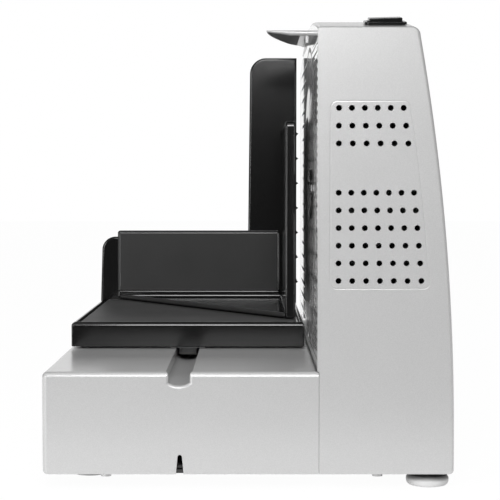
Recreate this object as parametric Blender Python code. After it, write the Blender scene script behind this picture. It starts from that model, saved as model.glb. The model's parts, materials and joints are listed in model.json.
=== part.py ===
"""Electric food slicer: base, motor housing, blade drive, carriage, food pusher and thickness setting.

Metres, +Z up. +X points from the carriage to the motor side, +Y to the operator's end.
The origin lies under the middle of the machine, on the surface that it stands on.
"""
import bpy
import bmesh
from math import acos, asin, cos, pi, sin, sqrt, tau
from mathutils import Matrix

# Whole machine
BODY_WIDTH = 0.2447
BODY_LENGTH = 0.320
BODY_HEIGHT = 0.289
HOUSING_WIDTH = 0.0802
BASE_HEIGHT = 0.061
FOOT_HEIGHT = 0.009
WALL = 0.0025
GAP = 0.0003
OVERRUN = 0.002
BORE_SEGMENTS = 16

# Casing shape
ARCH_RADIUS = 0.799
CROWN_BACK = 0.159
SIDE_BOW = 0.02506
SIDE_START = 0.030
HOUSING_FILLET = 0.0022
HOUSING_SHOULDER = 0.005
BASE_FILLET = 0.00325
BOTTOM_FILLET = 0.0025
SEAM_FILLET = 0.0006

# Carriage slot and cord notch in the base
SLOT_WIDTH = 0.0126
SLOT_LEFT_OFFSET = 0.0751
SLOT_DEPTH = 0.0063
SLOT_DISH = 0.0027
SLOT_LIP = 0.0021
SLOT_END_WALL = 0.004
NOTCH_OFFSET = 0.0818
NOTCH_FOOT_WIDTH = 0.0048
NOTCH_TOP_WIDTH = 0.0026
NOTCH_HEIGHT = 0.0116
EDGE_GROOVE_WIDTH = 0.0018
EDGE_GROOVE_DEPTH = 0.004

# Vent holes
VENT_RADIUS = 0.0016
VENT_SEGMENTS = 8
VENT_PITCH = 0.0104
VENT_FIRST_OFFSET = 0.0107
VENT_UPPER_DROP = 0.0632
VENT_LOWER_DROP = 0.1129
VENT_UPPER_ROWS = 3
VENT_LOWER_ROWS = 6
VENT_UPPER_COLUMNS = 6
VENT_LOWER_COLUMNS = 7
VENT_EDGE_MARGIN = 0.0165

# Blade
BLADE_TOP_MARGIN = 0.0194
BLADE_FLOOR_GAP = 0.0096
BLADE_NEAR_MARGIN = 0.022
BLADE_SEGMENTS = 64
BLADE_THICKNESS = 0.0014
BLADE_EDGE_WIDTH = 0.007
BLADE_RIM_WIDTH = 0.019
BLADE_DISH_STEP = 0.006
BLADE_DISH = 0.0017
BLADE_CLEARANCE = 0.003
RECESS_DEPTH = 0.006
LOCK_RADIUS = 0.017
HUB_RADIUS = 0.020
HUB_THICKNESS = 0.003

# Plates beside the blade
PLATE_THICKNESS = 0.0009
PLATE_EDGE_INSET = 0.0008
PLATE_TOP_MARGIN = 0.002
PLATE_FOOT_GAP = 0.001
STOP_THICKNESS = 0.002
STOP_NEAR_OFFSET = 0.044
STOP_END_MARGIN = 0.002
STOP_TOP_DROP = 0.010
POCKET_CLEARANCE = 0.002

# Slice outlet
BRIDGE_THICKNESS = 0.012
OUTLET_END_MARGIN = 0.028
OUTLET_CORNER = 0.008
POST_CAVITY_DROP = 0.069

# Drive
SHAFT_RADIUS = 0.005
ROTOR_SHAFT_RADIUS = 0.004
GEAR_PLACE_SHARE = 0.4364
GEARBOX_WALL = 0.0035
GEARBOX_COVER = 0.004
WHEEL_TEETH = 40
WHEEL_PITCH_RADIUS = 0.020
WHEEL_WIDTH = 0.012
WORM_PITCH_RADIUS = 0.0062
WORM_LENGTH = 0.018
TOOTH_ADDENDUM = 0.0005
TOOTH_DEDENDUM = 0.0010
TOOTH_ROOT_SHARE = 0.24
TOOTH_TIP_SHARE = 0.14
GEAR_ROOM = 0.0035
BEARING_RADIUS = 0.0107
BEARING_WIDTH = 0.0034
ROTOR_BEARING_RADIUS = 0.008
STATOR_SIDE_GAP = 0.0025
STATOR_DEPTH = 0.007
MOTOR_NEAR_ROOM = 0.0098
ARMATURE_AIR_GAP = 0.001
ARMATURE_OVERHANG = 0.002
BRUSH_RING_LENGTH = 0.0176
BRUSH_WIDTH = 0.005
COMMUTATOR_RADIUS = 0.0085
COMMUTATOR_LENGTH = 0.012
END_SHIELD_THICKNESS = 0.004
FAN_RIM_GAP = 0.002
FAN_WIDTH = 0.008
FAN_BLADES = 9
FAN_BLADE_SHARES = ((0.35, -0.30), (1, -0.12), (1, 0.12), (0.35, 0.30))
FAN_DISTANCE = 0.004
ROTOR_END_MARGIN = 0.002

# Thickness setting
CAM_CORE_RADIUS = 0.006
CAM_SIDE_GAP = 0.0037
CAM_FLOOR_GAP = 0.0015
KNOB_RANGE = 300 / 360 * tau
CAM_RIM = 0.004
CAM_THICKNESS = 0.005
CAM_GROOVE_DEPTH = 0.003
CAM_GROOVE_WIDTH = 0.0046
FOLLOWER_RADIUS = 0.0015
KNOB_RADIUS = 0.022
KNOB_LENGTH = 0.020
KNOB_CROWN = 0.0067
KNOB_EDGE = 0.002
KNOB_FLUTES = 24
KNOB_FLUTE_DEPTH = 0.0008
KNOB_SHAFT_RADIUS = 0.004
DIAL_THICKNESS = 0.0015
CARRIER_LEFT_OFFSET = 0.015
CARRIER_THICKNESS = 0.006
CARRIER_END_MARGIN = 0.052
CARRIER_NECK_LENGTH = 0.020
CARRIER_LENGTH = 0.032
CARRIER_FOOT_GAP = 0.016
CARRIER_ARM_LOW = 0.006
CARRIER_ARM_HEIGHT = 0.008
ROD_RADIUS = 0.003
ROD_SUPPORT_THICKNESS = 0.004
ROD_SPREAD = 0.022

# Switch
SWITCH_LENGTH = 0.0249
SWITCH_WIDTH = 0.0175
SWITCH_CORNER = 0.0029
SWITCH_BACK = 0.0173
SWITCH_RIGHT_OFFSET = 0.0407
BEZEL_HEIGHT = 0.002
BEZEL_RIM = 0.0017
SWITCH_DEPTH = 0.016
ROCKER_PROUD = 0.0026
ROCKER_TILT = 6.5 / 360 * tau
ROCKER_GAP = 0.0006

# Blade guard
GUARD_REACH = 0.0292
GUARD_NEAR_OFFSET = 0.034
GUARD_TAPER = 1.9
GUARD_FAR_RUN = 0.0164
GUARD_CLEARANCE = 0.0011
GUARD_DROP = 0.0004
GUARD_EDGE = 0.0010
GUARD_TAB_LENGTH = 0.030
GUARD_TAB_THICKNESS = 0.0018

# Carriage
TRAY_LEFT_INSET = 0.0025
TRAY_BLADE_GAP = 0.0029
TRAY_HEIGHT = 0.0165
TRAY_LIFT = 0.0015
TRAY_NEAR_BACK = 0.117
TRAY_END_MARGIN = 0.0087
TRAY_RIM = 0.0022
TRAY_RIM_WIDTH = 0.0035
TRAY_CORNER = 0.003
WALL_SCREW_SHARES = (0.2, 0.8)
WALL_THICKNESS = 0.004
LOW_WALL_HEIGHT = 0.0687
LOW_WALL_CORNER = 0.011
HIGH_WALL_DROP = 0.005
HIGH_WALL_WIDTH = 0.0379
HIGH_WALL_CORNER = 0.013
WALL_BLADE_GAP = 0.0019
SHOE_INSET = 0.001
SHOE_FLANGE = 0.006
SHOE_DEPTH = 0.004

# Food pusher
PANEL_LEFT_INSET = 0.0155
PANEL_THICKNESS = 0.0030
PANEL_RISE = 0.0043
PUSHER_FLOOR_GAP = 0.0007
PUSHER_PLATE_THICKNESS = 0.0069
PUSHER_PLATE_GAP = 0.0083
PUSHER_PLATE_LENGTH = 0.170
PUSHER_PLATE_DROP = 0.064
PUSHER_PLATE_CORNER = 0.004
GUSSET_HEIGHT = 0.0033
PANEL_RIB_HEIGHT = 0.0053
PANEL_RIB_DEPTH = 0.0028
HOOK_DROP = 0.020
HOOK_GAP_TO_WALL = 0.008
GRIP_DEPTH = 0.014
GRIP_LENGTH = 0.055
SPIKE_LENGTH = 0.0013
SPIKE_PITCH = 0.0172
SPIKE_WIDTH = 0.003

# Feet, screws and gland
FOOT_RADIUS = 0.013
FOOT_INSET_RIGHT = 0.0138
FOOT_INSET_LEFT = 0.0235
FOOT_BACK_RIGHT = 0.017
FOOT_BACK_LEFT = 0.050
FOOT_STEM_RADIUS = 0.003
FOOT_SHARES = ((0, 0.25), (0.55, 0.20), (0.66, 0), (0.85, 0), (1, 0.30), (1, 0.45), (0.72, 1))
BOSS_RADIUS = 0.004
BOSS_HEIGHT = 0.012
BOSS_SHOW_SHARE = 0.8
SCREW_RADIUS = 0.0013
SCREW_HEAD_RADIUS = 0.0032
SCREW_HEAD_HEIGHT = 0.0018
SCREW_LENGTH = 0.010
JOINING_SCREW_RADIUS = 0.0024
JOINING_HEAD_RADIUS = 0.0045
GLAND_RADIUS = 0.0055
GLAND_BORE = 0.0033
GLAND_LENGTH = 0.010

# Reference planes and places
KNOB_REACH = GAP + DIAL_THICKNESS + GAP + KNOB_LENGTH
LEFT = -BODY_WIDTH / 2
RIGHT = BODY_WIDTH / 2
NEAR = -(BODY_LENGTH + KNOB_REACH) / 2
FAR = NEAR + BODY_LENGTH
HOUSING_LEFT = RIGHT - HOUSING_WIDTH
BASE_RIGHT = HOUSING_LEFT - GAP
BOTTOM = FOOT_HEIGHT
BASE_TOP = FOOT_HEIGHT + BASE_HEIGHT
SIDE_RISE = BODY_HEIGHT - SIDE_START
SIDE_RADIUS = (SIDE_RISE ** 2 + SIDE_BOW ** 2) / (2 * SIDE_BOW)
BLADE_RADIUS = (BODY_HEIGHT - BLADE_TOP_MARGIN - BLADE_FLOOR_GAP - BASE_TOP) / 2
CUT_PLANE = HOUSING_LEFT - GAP - PLATE_THICKNESS
INNER_LEFT = HOUSING_LEFT + RECESS_DEPTH + WALL
RECESS_RADIUS = BLADE_RADIUS + BLADE_CLEARANCE
BLADE_Y = NEAR + BLADE_NEAR_MARGIN + RECESS_RADIUS
BLADE_HEIGHT = BASE_TOP + BLADE_FLOOR_GAP + BLADE_RADIUS
CARRIER_LEFT = HOUSING_LEFT + CARRIER_LEFT_OFFSET
CARRIER_NEAR = FAR - CARRIER_END_MARGIN
FOLLOWER_X = CARRIER_LEFT + CARRIER_THICKNESS / 2
CAM_START_RADIUS = (RIGHT - WALL - CAM_SIDE_GAP - CAM_RIM - FOLLOWER_X) / 2
CAM_RADIUS = CAM_START_RADIUS + CAM_RIM
STOP_TRAVEL = CAM_START_RADIUS - CAM_CORE_RADIUS
CAM_STEP = STOP_TRAVEL / KNOB_RANGE
STOP_TOP = BODY_HEIGHT - STOP_TOP_DROP
STOP_NEAR = BLADE_Y + STOP_NEAR_OFFSET
POCKET_RIGHT = CUT_PLANE + STOP_THICKNESS + STOP_TRAVEL + POCKET_CLEARANCE
POCKET_NEAR = STOP_NEAR - POCKET_CLEARANCE
OUTLET_FAR = FAR - OUTLET_END_MARGIN
GUARD_NEAR = BLADE_Y + GUARD_NEAR_OFFSET
GUARD_FAR = BLADE_Y + RECESS_RADIUS + GUARD_FAR_RUN
COVER_TOP = BOTTOM + WALL
KNOB_X = FOLLOWER_X + CAM_START_RADIUS
KNOB_Z = COVER_TOP + CAM_FLOOR_GAP + CAM_RADIUS
WORM_Z = BLADE_HEIGHT - WHEEL_PITCH_RADIUS - WORM_PITCH_RADIUS
GEAR_X = HOUSING_LEFT + HOUSING_WIDTH * GEAR_PLACE_SHARE
TOOTH_PITCH = tau * WHEEL_PITCH_RADIUS / WHEEL_TEETH
STATOR_RADIUS = GEAR_X - INNER_LEFT - STATOR_SIDE_GAP
STATOR_BORE = STATOR_RADIUS - STATOR_DEPTH
CAM_FAR = FAR - WALL - CAM_THICKNESS - 2 * GAP
SLOT_X = LEFT + SLOT_LEFT_OFFSET + SLOT_WIDTH / 2
NOTCH_X = LEFT + NOTCH_OFFSET
TRAY_BOTTOM = BASE_TOP + TRAY_LIFT
TRAY_TOP = TRAY_BOTTOM + TRAY_HEIGHT
TRAY_LEFT = LEFT + TRAY_LEFT_INSET
TRAY_RIGHT = CUT_PLANE - TRAY_BLADE_GAP
TRAY_NEAR = NEAR + TRAY_NEAR_BACK
TRAY_FAR = FAR - TRAY_END_MARGIN
WALL_NEAR = TRAY_FAR + GAP
WALL_FAR = WALL_NEAR + WALL_THICKNESS
WALL_RIGHT = CUT_PLANE - WALL_BLADE_GAP
HIGH_WALL_LEFT = WALL_RIGHT - HIGH_WALL_WIDTH
HIGH_WALL_TOP = BODY_HEIGHT - HIGH_WALL_DROP
LOW_WALL_TOP = BASE_TOP + LOW_WALL_HEIGHT
PUSHER_BOTTOM = TRAY_TOP + PUSHER_FLOOR_GAP
PUSHER_RIGHT = CUT_PLANE - PUSHER_PLATE_GAP
PUSHER_PLATE_LEFT = PUSHER_RIGHT - PUSHER_PLATE_THICKNESS
PUSHER_PLATE_TOP = BODY_HEIGHT - PUSHER_PLATE_DROP
PANEL_FAR = WALL_NEAR - GAP
PANEL_NEAR = PANEL_FAR - PANEL_THICKNESS
PANEL_TOP = LOW_WALL_TOP + PANEL_RISE

PALETTE = {
    "silver": ((0.60, 0.60, 0.60), 0.38, 0.35),
    "steel": ((0.72, 0.72, 0.72), 0.22, 1.0),
    "black": ((0.035, 0.035, 0.036), 0.45, 0.0),
    "rubber": ((0.07, 0.07, 0.07), 0.75, 0.0),
    "copper": ((0.70, 0.36, 0.20), 0.35, 1.0),
    "brass": ((0.72, 0.55, 0.27), 0.35, 1.0),
    "iron": ((0.22, 0.22, 0.23), 0.55, 0.9),
    "nylon": ((0.80, 0.79, 0.75), 0.50, 0.0),
    "carbon": ((0.03, 0.03, 0.03), 0.70, 0.1),
}


def clear_scene():
    for old in list(bpy.data.objects):
        bpy.data.objects.remove(old, do_unlink=True)


def finish_material(name, finish):
    colour, roughness, metallic = PALETTE[finish]
    material = bpy.data.materials.new(name + "_finish")
    material.use_nodes = True
    shader = material.node_tree.nodes["Principled BSDF"]
    shader.inputs["Base Color"].default_value = (*colour, 1.0)
    shader.inputs["Roughness"].default_value = roughness
    shader.inputs["Metallic"].default_value = metallic
    material.diffuse_color = (*colour, 1.0)
    return material


def add_object(name, points, faces, finish=None, frame=None):
    """A mesh object from points and faces, with its faces pointing out."""
    mesh = bpy.data.meshes.new(name)
    mesh.from_pydata([tuple(point) for point in points], [], faces)
    if frame is not None:
        mesh.transform(frame)
    form = bmesh.new()
    form.from_mesh(mesh)
    bmesh.ops.recalc_face_normals(form, faces=form.faces)
    form.to_mesh(mesh)
    form.free()
    if finish is not None:
        mesh.materials.append(finish_material(name, finish))
    mesh.shade_smooth()
    mesh.set_sharp_from_angle(angle=pi / 6)
    thing = bpy.data.objects.new(name, mesh)
    bpy.context.scene.collection.objects.link(thing)
    return thing


def place(axis, first, second, along):
    """A point from the two coordinates across an axis and the one along it."""
    if axis == "X":
        return (along, first, second)
    if axis == "Y":
        return (first, along, second)
    return (first, second, along)


def prism(name, outline, axis, low, high, finish=None, frame=None):
    """A flat outline pushed along an axis from low to high."""
    count = len(outline)
    points = [place(axis, a, b, low) for a, b in outline] + [place(axis, a, b, high) for a, b in outline]
    faces = [list(range(count)), list(range(2 * count - 1, count - 1, -1))]
    for i in range(count):
        j = (i + 1) % count
        faces.append([i, j, j + count, i + count])
    return add_object(name, points, faces, finish, frame)


def block(name, low, high, finish=None, frame=None):
    outline = [(low[0], low[1]), (high[0], low[1]), (high[0], high[1]), (low[0], high[1])]
    return prism(name, outline, "Z", low[2], high[2], finish, frame)


def turned(name, profile, axis, centre, finish=None, segments=BORE_SEGMENTS, ripple=None, frame=None):
    """A profile of (radius, place along the axis) turned about an axis through centre.

    A profile that starts and ends on the axis is closed by its poles, any other by its own loop.
    ripple(angle) changes the radius round the turn.
    """
    points = []
    rings = []
    for radius, along in profile:
        if radius == 0:
            rings.append([len(points)])
            points.append(place(axis, centre[0], centre[1], along))
            continue
        rings.append(list(range(len(points), len(points) + segments)))
        for i in range(segments):
            angle = tau * (i + 0.5) / segments
            reach = radius * (ripple(angle) if ripple else 1)
            points.append(place(axis, centre[0] + reach * cos(angle), centre[1] + reach * sin(angle), along))
    pairs = list(zip(rings, rings[1:]))
    if len(rings[0]) > 1 and len(rings[-1]) > 1:
        pairs.append((rings[-1], rings[0]))
    faces = []
    for one, two in pairs:
        for i in range(segments):
            j = (i + 1) % segments
            if len(one) == 1:
                faces.append([one[0], two[i], two[j]])
            elif len(two) == 1:
                faces.append([one[i], one[j], two[0]])
            else:
                faces.append([one[i], one[j], two[j], two[i]])
    return add_object(name, points, faces, finish, frame)


def rod(name, axis, centre, radius, low, high, finish=None, segments=BORE_SEGMENTS):
    profile = [(0, low), (radius, low), (radius, high), (0, high)]
    return turned(name, profile, axis, centre, finish, segments)


def tube(name, axis, centre, inner, outer, low, high, finish=None, segments=BORE_SEGMENTS):
    profile = [(inner, low), (outer, low), (outer, high), (inner, high)]
    return turned(name, profile, axis, centre, finish, segments)


def loft(name, rings, finish=None):
    """A skin over rings of equal point count, with a flat cap on each end."""
    count = len(rings[0])
    points = [point for ring in rings for point in ring]
    faces = [list(range(count)), list(range(len(points) - 1, len(points) - count - 1, -1))]
    for k in range(len(rings) - 1):
        for i in range(count):
            j = (i + 1) % count
            a, b = k * count, (k + 1) * count
            faces.append([a + i, a + j, b + j, b + i])
    return add_object(name, points, faces, finish)


def use(target, tool, operation):
    tool.hide_render = True
    tool.display_type = "WIRE"
    step = target.modifiers.new(tool.name, "BOOLEAN")
    step.operation = operation
    step.object = tool
    step.solver = "EXACT"


def carve(target, *tools):
    for tool in tools:
        use(target, tool, "DIFFERENCE")


def fuse(target, *tools):
    for tool in tools:
        use(target, tool, "UNION")


def axis_empty(name, location):
    empty = bpy.data.objects.new(name, None)
    empty.location = location
    bpy.context.scene.collection.objects.link(empty)
    return empty


def hang(empty, *pieces):
    """Parents pieces to an empty without moving them."""
    for piece in pieces:
        piece.parent = empty
        piece.matrix_parent_inverse = Matrix.Translation(empty.location).inverted()


def arc(centre, radius, start, end, steps):
    return [
        (centre[0] + radius * cos(start + (end - start) * k / steps),
         centre[1] + radius * sin(start + (end - start) * k / steps))
        for k in range(steps + 1)
    ]


def rounded_outline(low, high, radii, steps=3):
    """A rectangle with its own corner radius at each corner, from the low corner anticlockwise."""
    corners = [
        ((low[0], low[1]), (1, 1), pi),
        ((high[0], low[1]), (-1, 1), 1.5 * pi),
        ((high[0], high[1]), (-1, -1), 0),
        ((low[0], high[1]), (1, -1), 0.5 * pi),
    ]
    outline = []
    for ((a, b), (to_a, to_b), start), radius in zip(corners, radii):
        if radius == 0:
            outline.append((a, b))
            continue
        centre = (a + to_a * radius, b + to_b * radius)
        outline += arc(centre, radius, start, start + pi / 2, steps)
    return outline


def top_height(y):
    """Height of the arched top at a place along the machine."""
    return BODY_HEIGHT - ARCH_RADIUS + sqrt(ARCH_RADIUS ** 2 - (y - NEAR - CROWN_BACK) ** 2)


def side_reach(z):
    """Right-hand face of the motor housing, which bows in towards the top."""
    rise = max(z - SIDE_START, 0)
    return RIGHT - SIDE_RADIUS + sqrt(SIDE_RADIUS ** 2 - rise ** 2)


def casing_section(y, left, bottom, top, inset, corners, seam_inset=None, right=None, side_steps=7):
    """A section of a casing across the machine, drawn in by inset.

    corners are the radii at the bottom left, bottom right, top right and top left. right gives the
    right-hand face at a height, and is the bowed side where it is left out.
    """
    reach = right or side_reach
    x0 = left + (inset if seam_inset is None else seam_inset)
    low, high = bottom + inset, top - inset
    radii = [max(radius - inset, GAP) for radius in corners]
    lower_right = reach(low) - inset
    upper_right = reach(high - radii[2]) - inset
    outline = arc((x0 + radii[0], low + radii[0]), radii[0], pi, 1.5 * pi, 2)
    outline += arc((lower_right - radii[1], low + radii[1]), radii[1], 1.5 * pi, tau, 2)
    for k in range(1, side_steps):
        z = low + radii[1] + (high - radii[2] - low - radii[1]) * k / side_steps
        outline.append((reach(z) - inset, z))
    outline += arc((upper_right - radii[2], high - radii[2]), radii[2], 0, pi / 2, 4)
    outline += arc((x0 + radii[3], high - radii[3]), radii[3], pi / 2, pi, 2)
    return [(x, y, z) for x, z in outline]


def casing(name, section, fillet, top, arch_steps, finish):
    """A closed casing from the near face to the far face, with rounded end edges.

    section(y, inset, top) gives the points of one section.
    """
    steps = 3
    places = []
    for k in range(steps + 1):
        angle = pi / 2 * k / steps
        places.append((NEAR + fillet * (1 - cos(angle)), fillet * (1 - sin(angle))))
    for k in range(1, arch_steps):
        places.append((NEAR + fillet + (BODY_LENGTH - 2 * fillet) * k / arch_steps, 0))
    for k in range(steps, -1, -1):
        angle = pi / 2 * k / steps
        places.append((FAR - fillet * (1 - cos(angle)), fillet * (1 - sin(angle))))
    return loft(name, [section(y, inset, top(y)) for y, inset in places], finish)


def housing_cavity(name, near, far, bottom, top, left, steps):
    """The room inside a stretch of the motor housing, one wall in from its bowed side."""
    corners = (WALL, WALL, HOUSING_SHOULDER, WALL)
    rings = []
    for k in range(steps + 1):
        y = near + (far - near) * k / steps
        rings.append(casing_section(y, left, bottom, top(y), 0, corners,
                                    right=lambda z: side_reach(z) - WALL))
    return loft(name, rings)


def vent_rows():
    """Each row of vent holes: its height, its first and last column and its count of holes."""
    first = HOUSING_LEFT + VENT_FIRST_OFFSET
    rows = []
    for top, count, columns in (
        (BODY_HEIGHT - VENT_UPPER_DROP, VENT_UPPER_ROWS, VENT_UPPER_COLUMNS),
        (BODY_HEIGHT - VENT_LOWER_DROP, VENT_LOWER_ROWS, VENT_LOWER_COLUMNS),
    ):
        for row in range(count):
            z = top - row * VENT_PITCH
            rows.append((z, first, side_reach(z) - VENT_EDGE_MARGIN, columns))
    return rows


def vent_holes():
    points = []
    faces = []
    for z, first, last, columns in vent_rows():
        for column in range(columns):
            x = first + (last - first) * column / (columns - 1)
            start = len(points)
            for y in (NEAR - OVERRUN, NEAR + WALL + OVERRUN):
                for i in range(VENT_SEGMENTS):
                    angle = tau * (i + 0.5) / VENT_SEGMENTS
                    points.append((x + VENT_RADIUS * cos(angle), y, z + VENT_RADIUS * sin(angle)))
            near = list(range(start, start + VENT_SEGMENTS))
            far = [i + VENT_SEGMENTS for i in near]
            faces += [near, far[::-1]]
            for i in range(VENT_SEGMENTS):
                j = (i + 1) % VENT_SEGMENTS
                faces.append([near[i], near[j], far[j], far[i]])
    return add_object("vent_holes", points, faces)


def switch_frame():
    """Frame of the switch: on the arched top, leaning with it."""
    y = NEAR + SWITCH_BACK
    slope = asin((NEAR + CROWN_BACK - y) / ARCH_RADIUS)
    x = RIGHT - SWITCH_RIGHT_OFFSET
    return Matrix.Translation((x, y, top_height(y))) @ Matrix.Rotation(slope, 4, "X")


def boss_places():
    """Screw bosses of the base and of the motor housing, each grown from a wall of its casing."""
    sunk = BOSS_RADIUS * BOSS_SHOW_SHARE
    near, far = NEAR + WALL + sunk, FAR - WALL - sunk
    base_x = LEFT + SLOT_LEFT_OFFSET / 2
    return {
        "base": [("base_screw_near", base_x, near), ("base_screw_far", base_x, far)],
        "housing": [("housing_screw_near", GEAR_X, near), ("housing_screw_far", INNER_LEFT + sunk, far)],
    }


def add_bosses(casing_object, places):
    for name, x, y in places:
        fuse(casing_object, rod(name + "_boss", "Z", (x, y), BOSS_RADIUS, COVER_TOP + GAP,
                                COVER_TOP + BOSS_HEIGHT, segments=12))
        carve(casing_object, rod(name + "_pilot", "Z", (x, y), SCREW_RADIUS + GAP, BOTTOM,
                                 BOTTOM + SCREW_LENGTH + OVERRUN, segments=10))


def foot_places():
    far_right = NEAR + BODY_LENGTH - FOOT_BACK_RIGHT
    far_left = NEAR + BODY_LENGTH - FOOT_BACK_LEFT
    right, left = RIGHT - FOOT_INSET_RIGHT, LEFT + FOOT_INSET_LEFT
    return {
        "foot_near_right": (right, NEAR + FOOT_BACK_RIGHT),
        "foot_far_right": (right, far_right),
        "foot_near_left": (left, NEAR + FOOT_BACK_LEFT),
        "foot_far_left": (left, far_left),
    }


def joining_places():
    """Where screws join the base to the motor housing, through both walls."""
    z = (BOTTOM + BASE_TOP) / 2
    return {
        "joining_screw_near": (NEAR + BODY_LENGTH / 4, z),
        "joining_screw_far": (NEAR + BODY_LENGTH * 3 / 4, z),
    }


def build_motor_housing():
    corners = (SEAM_FILLET, BOTTOM_FILLET, HOUSING_SHOULDER, HOUSING_FILLET)

    def section(y, inset, top):
        seam = min(inset, SEAM_FILLET)
        return casing_section(y, HOUSING_LEFT, BOTTOM, top, inset, corners, seam)

    housing = casing("motor_housing", section, HOUSING_FILLET, top_height, 14, "silver")
    below = BOTTOM - OVERRUN
    motor_far = POCKET_NEAR - WALL
    motor_room = housing_cavity("motor_room", NEAR + WALL, motor_far, below,
                                lambda y: top_height(y) - WALL, INNER_LEFT, 7)
    plinth_top = BASE_TOP - WALL
    plinth_room = housing_cavity("plinth_room", motor_far - OVERRUN, FAR - WALL, below,
                                 lambda y: plinth_top, INNER_LEFT, 1)
    post_room = housing_cavity("post_room", OUTLET_FAR + WALL, FAR - WALL, plinth_top - OVERRUN,
                               lambda y: BODY_HEIGHT - POST_CAVITY_DROP, POCKET_RIGHT + WALL, 1)
    centre = (BLADE_Y, BLADE_HEIGHT)
    recess = rod("blade_recess", "X", centre, RECESS_RADIUS, HOUSING_LEFT - OVERRUN,
                 HOUSING_LEFT + RECESS_DEPTH, segments=BLADE_SEGMENTS)
    hub_hole = rod("hub_hole", "X", centre, BEARING_RADIUS, HOUSING_LEFT, INNER_LEFT + OVERRUN)
    pocket = block("stop_pocket", (HOUSING_LEFT - OVERRUN, POCKET_NEAR, BASE_TOP),
                   (POCKET_RIGHT, FAR + OVERRUN, STOP_TOP + POCKET_CLEARANCE))
    carve(housing, motor_room, plinth_room, post_room, recess, hub_hole, pocket)
    carve(housing, build_outlet_cutter())
    neck_far = CARRIER_NEAR + CARRIER_NECK_LENGTH
    neck_slot = block("carrier_slot",
                      (CARRIER_LEFT - OVERRUN, CARRIER_NEAR - OVERRUN, plinth_top - OVERRUN),
                      (CARRIER_LEFT + CARRIER_THICKNESS + STOP_TRAVEL + OVERRUN, neck_far + OVERRUN,
                       BASE_TOP + OVERRUN))
    knob_hole = rod("knob_hole", "Y", (KNOB_X, KNOB_Z), KNOB_SHAFT_RADIUS + GAP,
                    FAR - WALL - OVERRUN, FAR + OVERRUN)
    half_length = SWITCH_LENGTH / 2 - BEZEL_RIM + GAP
    half_width = SWITCH_WIDTH / 2 - BEZEL_RIM + GAP
    switch_hole = block("switch_hole", (-half_length, -half_width, -WALL - OVERRUN),
                        (half_length, half_width, OVERRUN), frame=switch_frame())
    carve(housing, neck_slot, knob_hole, switch_hole, vent_holes())
    add_bosses(housing, boss_places()["housing"])
    for name, place_yz in joining_places().items():
        carve(housing, rod(name + "_housing_hole", "X", place_yz, JOINING_SCREW_RADIUS + GAP,
                           HOUSING_LEFT - OVERRUN, INNER_LEFT + OVERRUN, segments=12))
    return housing


def build_outlet_cutter():
    """The slice outlet, open to the right, with a top edge that follows the arch."""
    near, far = POCKET_NEAR, OUTLET_FAR
    low = BASE_TOP
    r = OUTLET_CORNER
    outline = arc((near + r, low + r), r, pi, 1.5 * pi, 3)
    outline += arc((far - r, low + r), r, 1.5 * pi, tau, 3)
    outline += arc((far - r, top_height(far - r) - BRIDGE_THICKNESS - r), r, 0, pi / 2, 3)
    steps = 5
    for k in range(1, steps):
        y = far - r + (near + 2 * r - far) * k / steps
        outline.append((y, top_height(y) - BRIDGE_THICKNESS))
    outline += arc((near + r, top_height(near + r) - BRIDGE_THICKNESS - r), r, pi / 2, pi, 3)
    return prism("slice_outlet", outline, "X", POCKET_RIGHT - OVERRUN, RIGHT + OVERRUN)


def build_base_housing():
    corners = (BOTTOM_FILLET, SEAM_FILLET, SEAM_FILLET, BASE_FILLET)

    def section(y, inset, top):
        return casing_section(y, LEFT, BOTTOM, top, inset, corners,
                              right=lambda z: BASE_RIGHT + max(inset - SEAM_FILLET, 0), side_steps=1)

    base = casing("base_housing", section, BASE_FILLET, lambda y: BASE_TOP, 1, "silver")
    below = BOTTOM - OVERRUN
    inner_near, inner_far = NEAR + WALL, FAR - WALL
    inner_left, inner_right = LEFT + WALL, BASE_RIGHT - WALL
    ceiling = BASE_TOP - EDGE_GROOVE_DEPTH - WALL
    slot_floor = BASE_TOP - SLOT_DEPTH - SLOT_DISH - WALL
    slot_side = SLOT_WIDTH / 2 + WALL
    carve(base, block("base_room_low", (inner_left, inner_near, below), (inner_right, inner_far, slot_floor)))
    sides = ((inner_left, SLOT_X - slot_side), (SLOT_X + slot_side, inner_right))
    for number, (a, b) in enumerate(sides):
        carve(base, block(f"base_room_{number}", (a, inner_near, slot_floor - OVERRUN),
                          (b, inner_far, ceiling)))
    carve(base, build_slot_cutter())
    groove = block("edge_groove",
                   (BASE_RIGHT - EDGE_GROOVE_WIDTH, NEAR + BASE_FILLET, BASE_TOP - EDGE_GROOVE_DEPTH),
                   (BASE_RIGHT + OVERRUN, FAR - BASE_FILLET, BASE_TOP + OVERRUN))
    half_foot, half_top = NOTCH_FOOT_WIDTH / 2, NOTCH_TOP_WIDTH / 2
    top = BOTTOM + NOTCH_HEIGHT
    notch_outline = [(NOTCH_X - half_foot, below), (NOTCH_X + half_foot, below)]
    notch_outline += arc((NOTCH_X, top - half_top), half_top, 0, pi, 4)
    notch = prism("cord_notch", notch_outline, "Y", NEAR - OVERRUN, NEAR + WALL + OVERRUN)
    carve(base, groove, notch)
    add_bosses(base, boss_places()["base"])
    for name, place_yz in joining_places().items():
        carve(base, rod(name + "_base_hole", "X", place_yz, JOINING_SCREW_RADIUS + GAP,
                        inner_right - OVERRUN, BASE_RIGHT + OVERRUN, segments=12))
    return base


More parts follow.
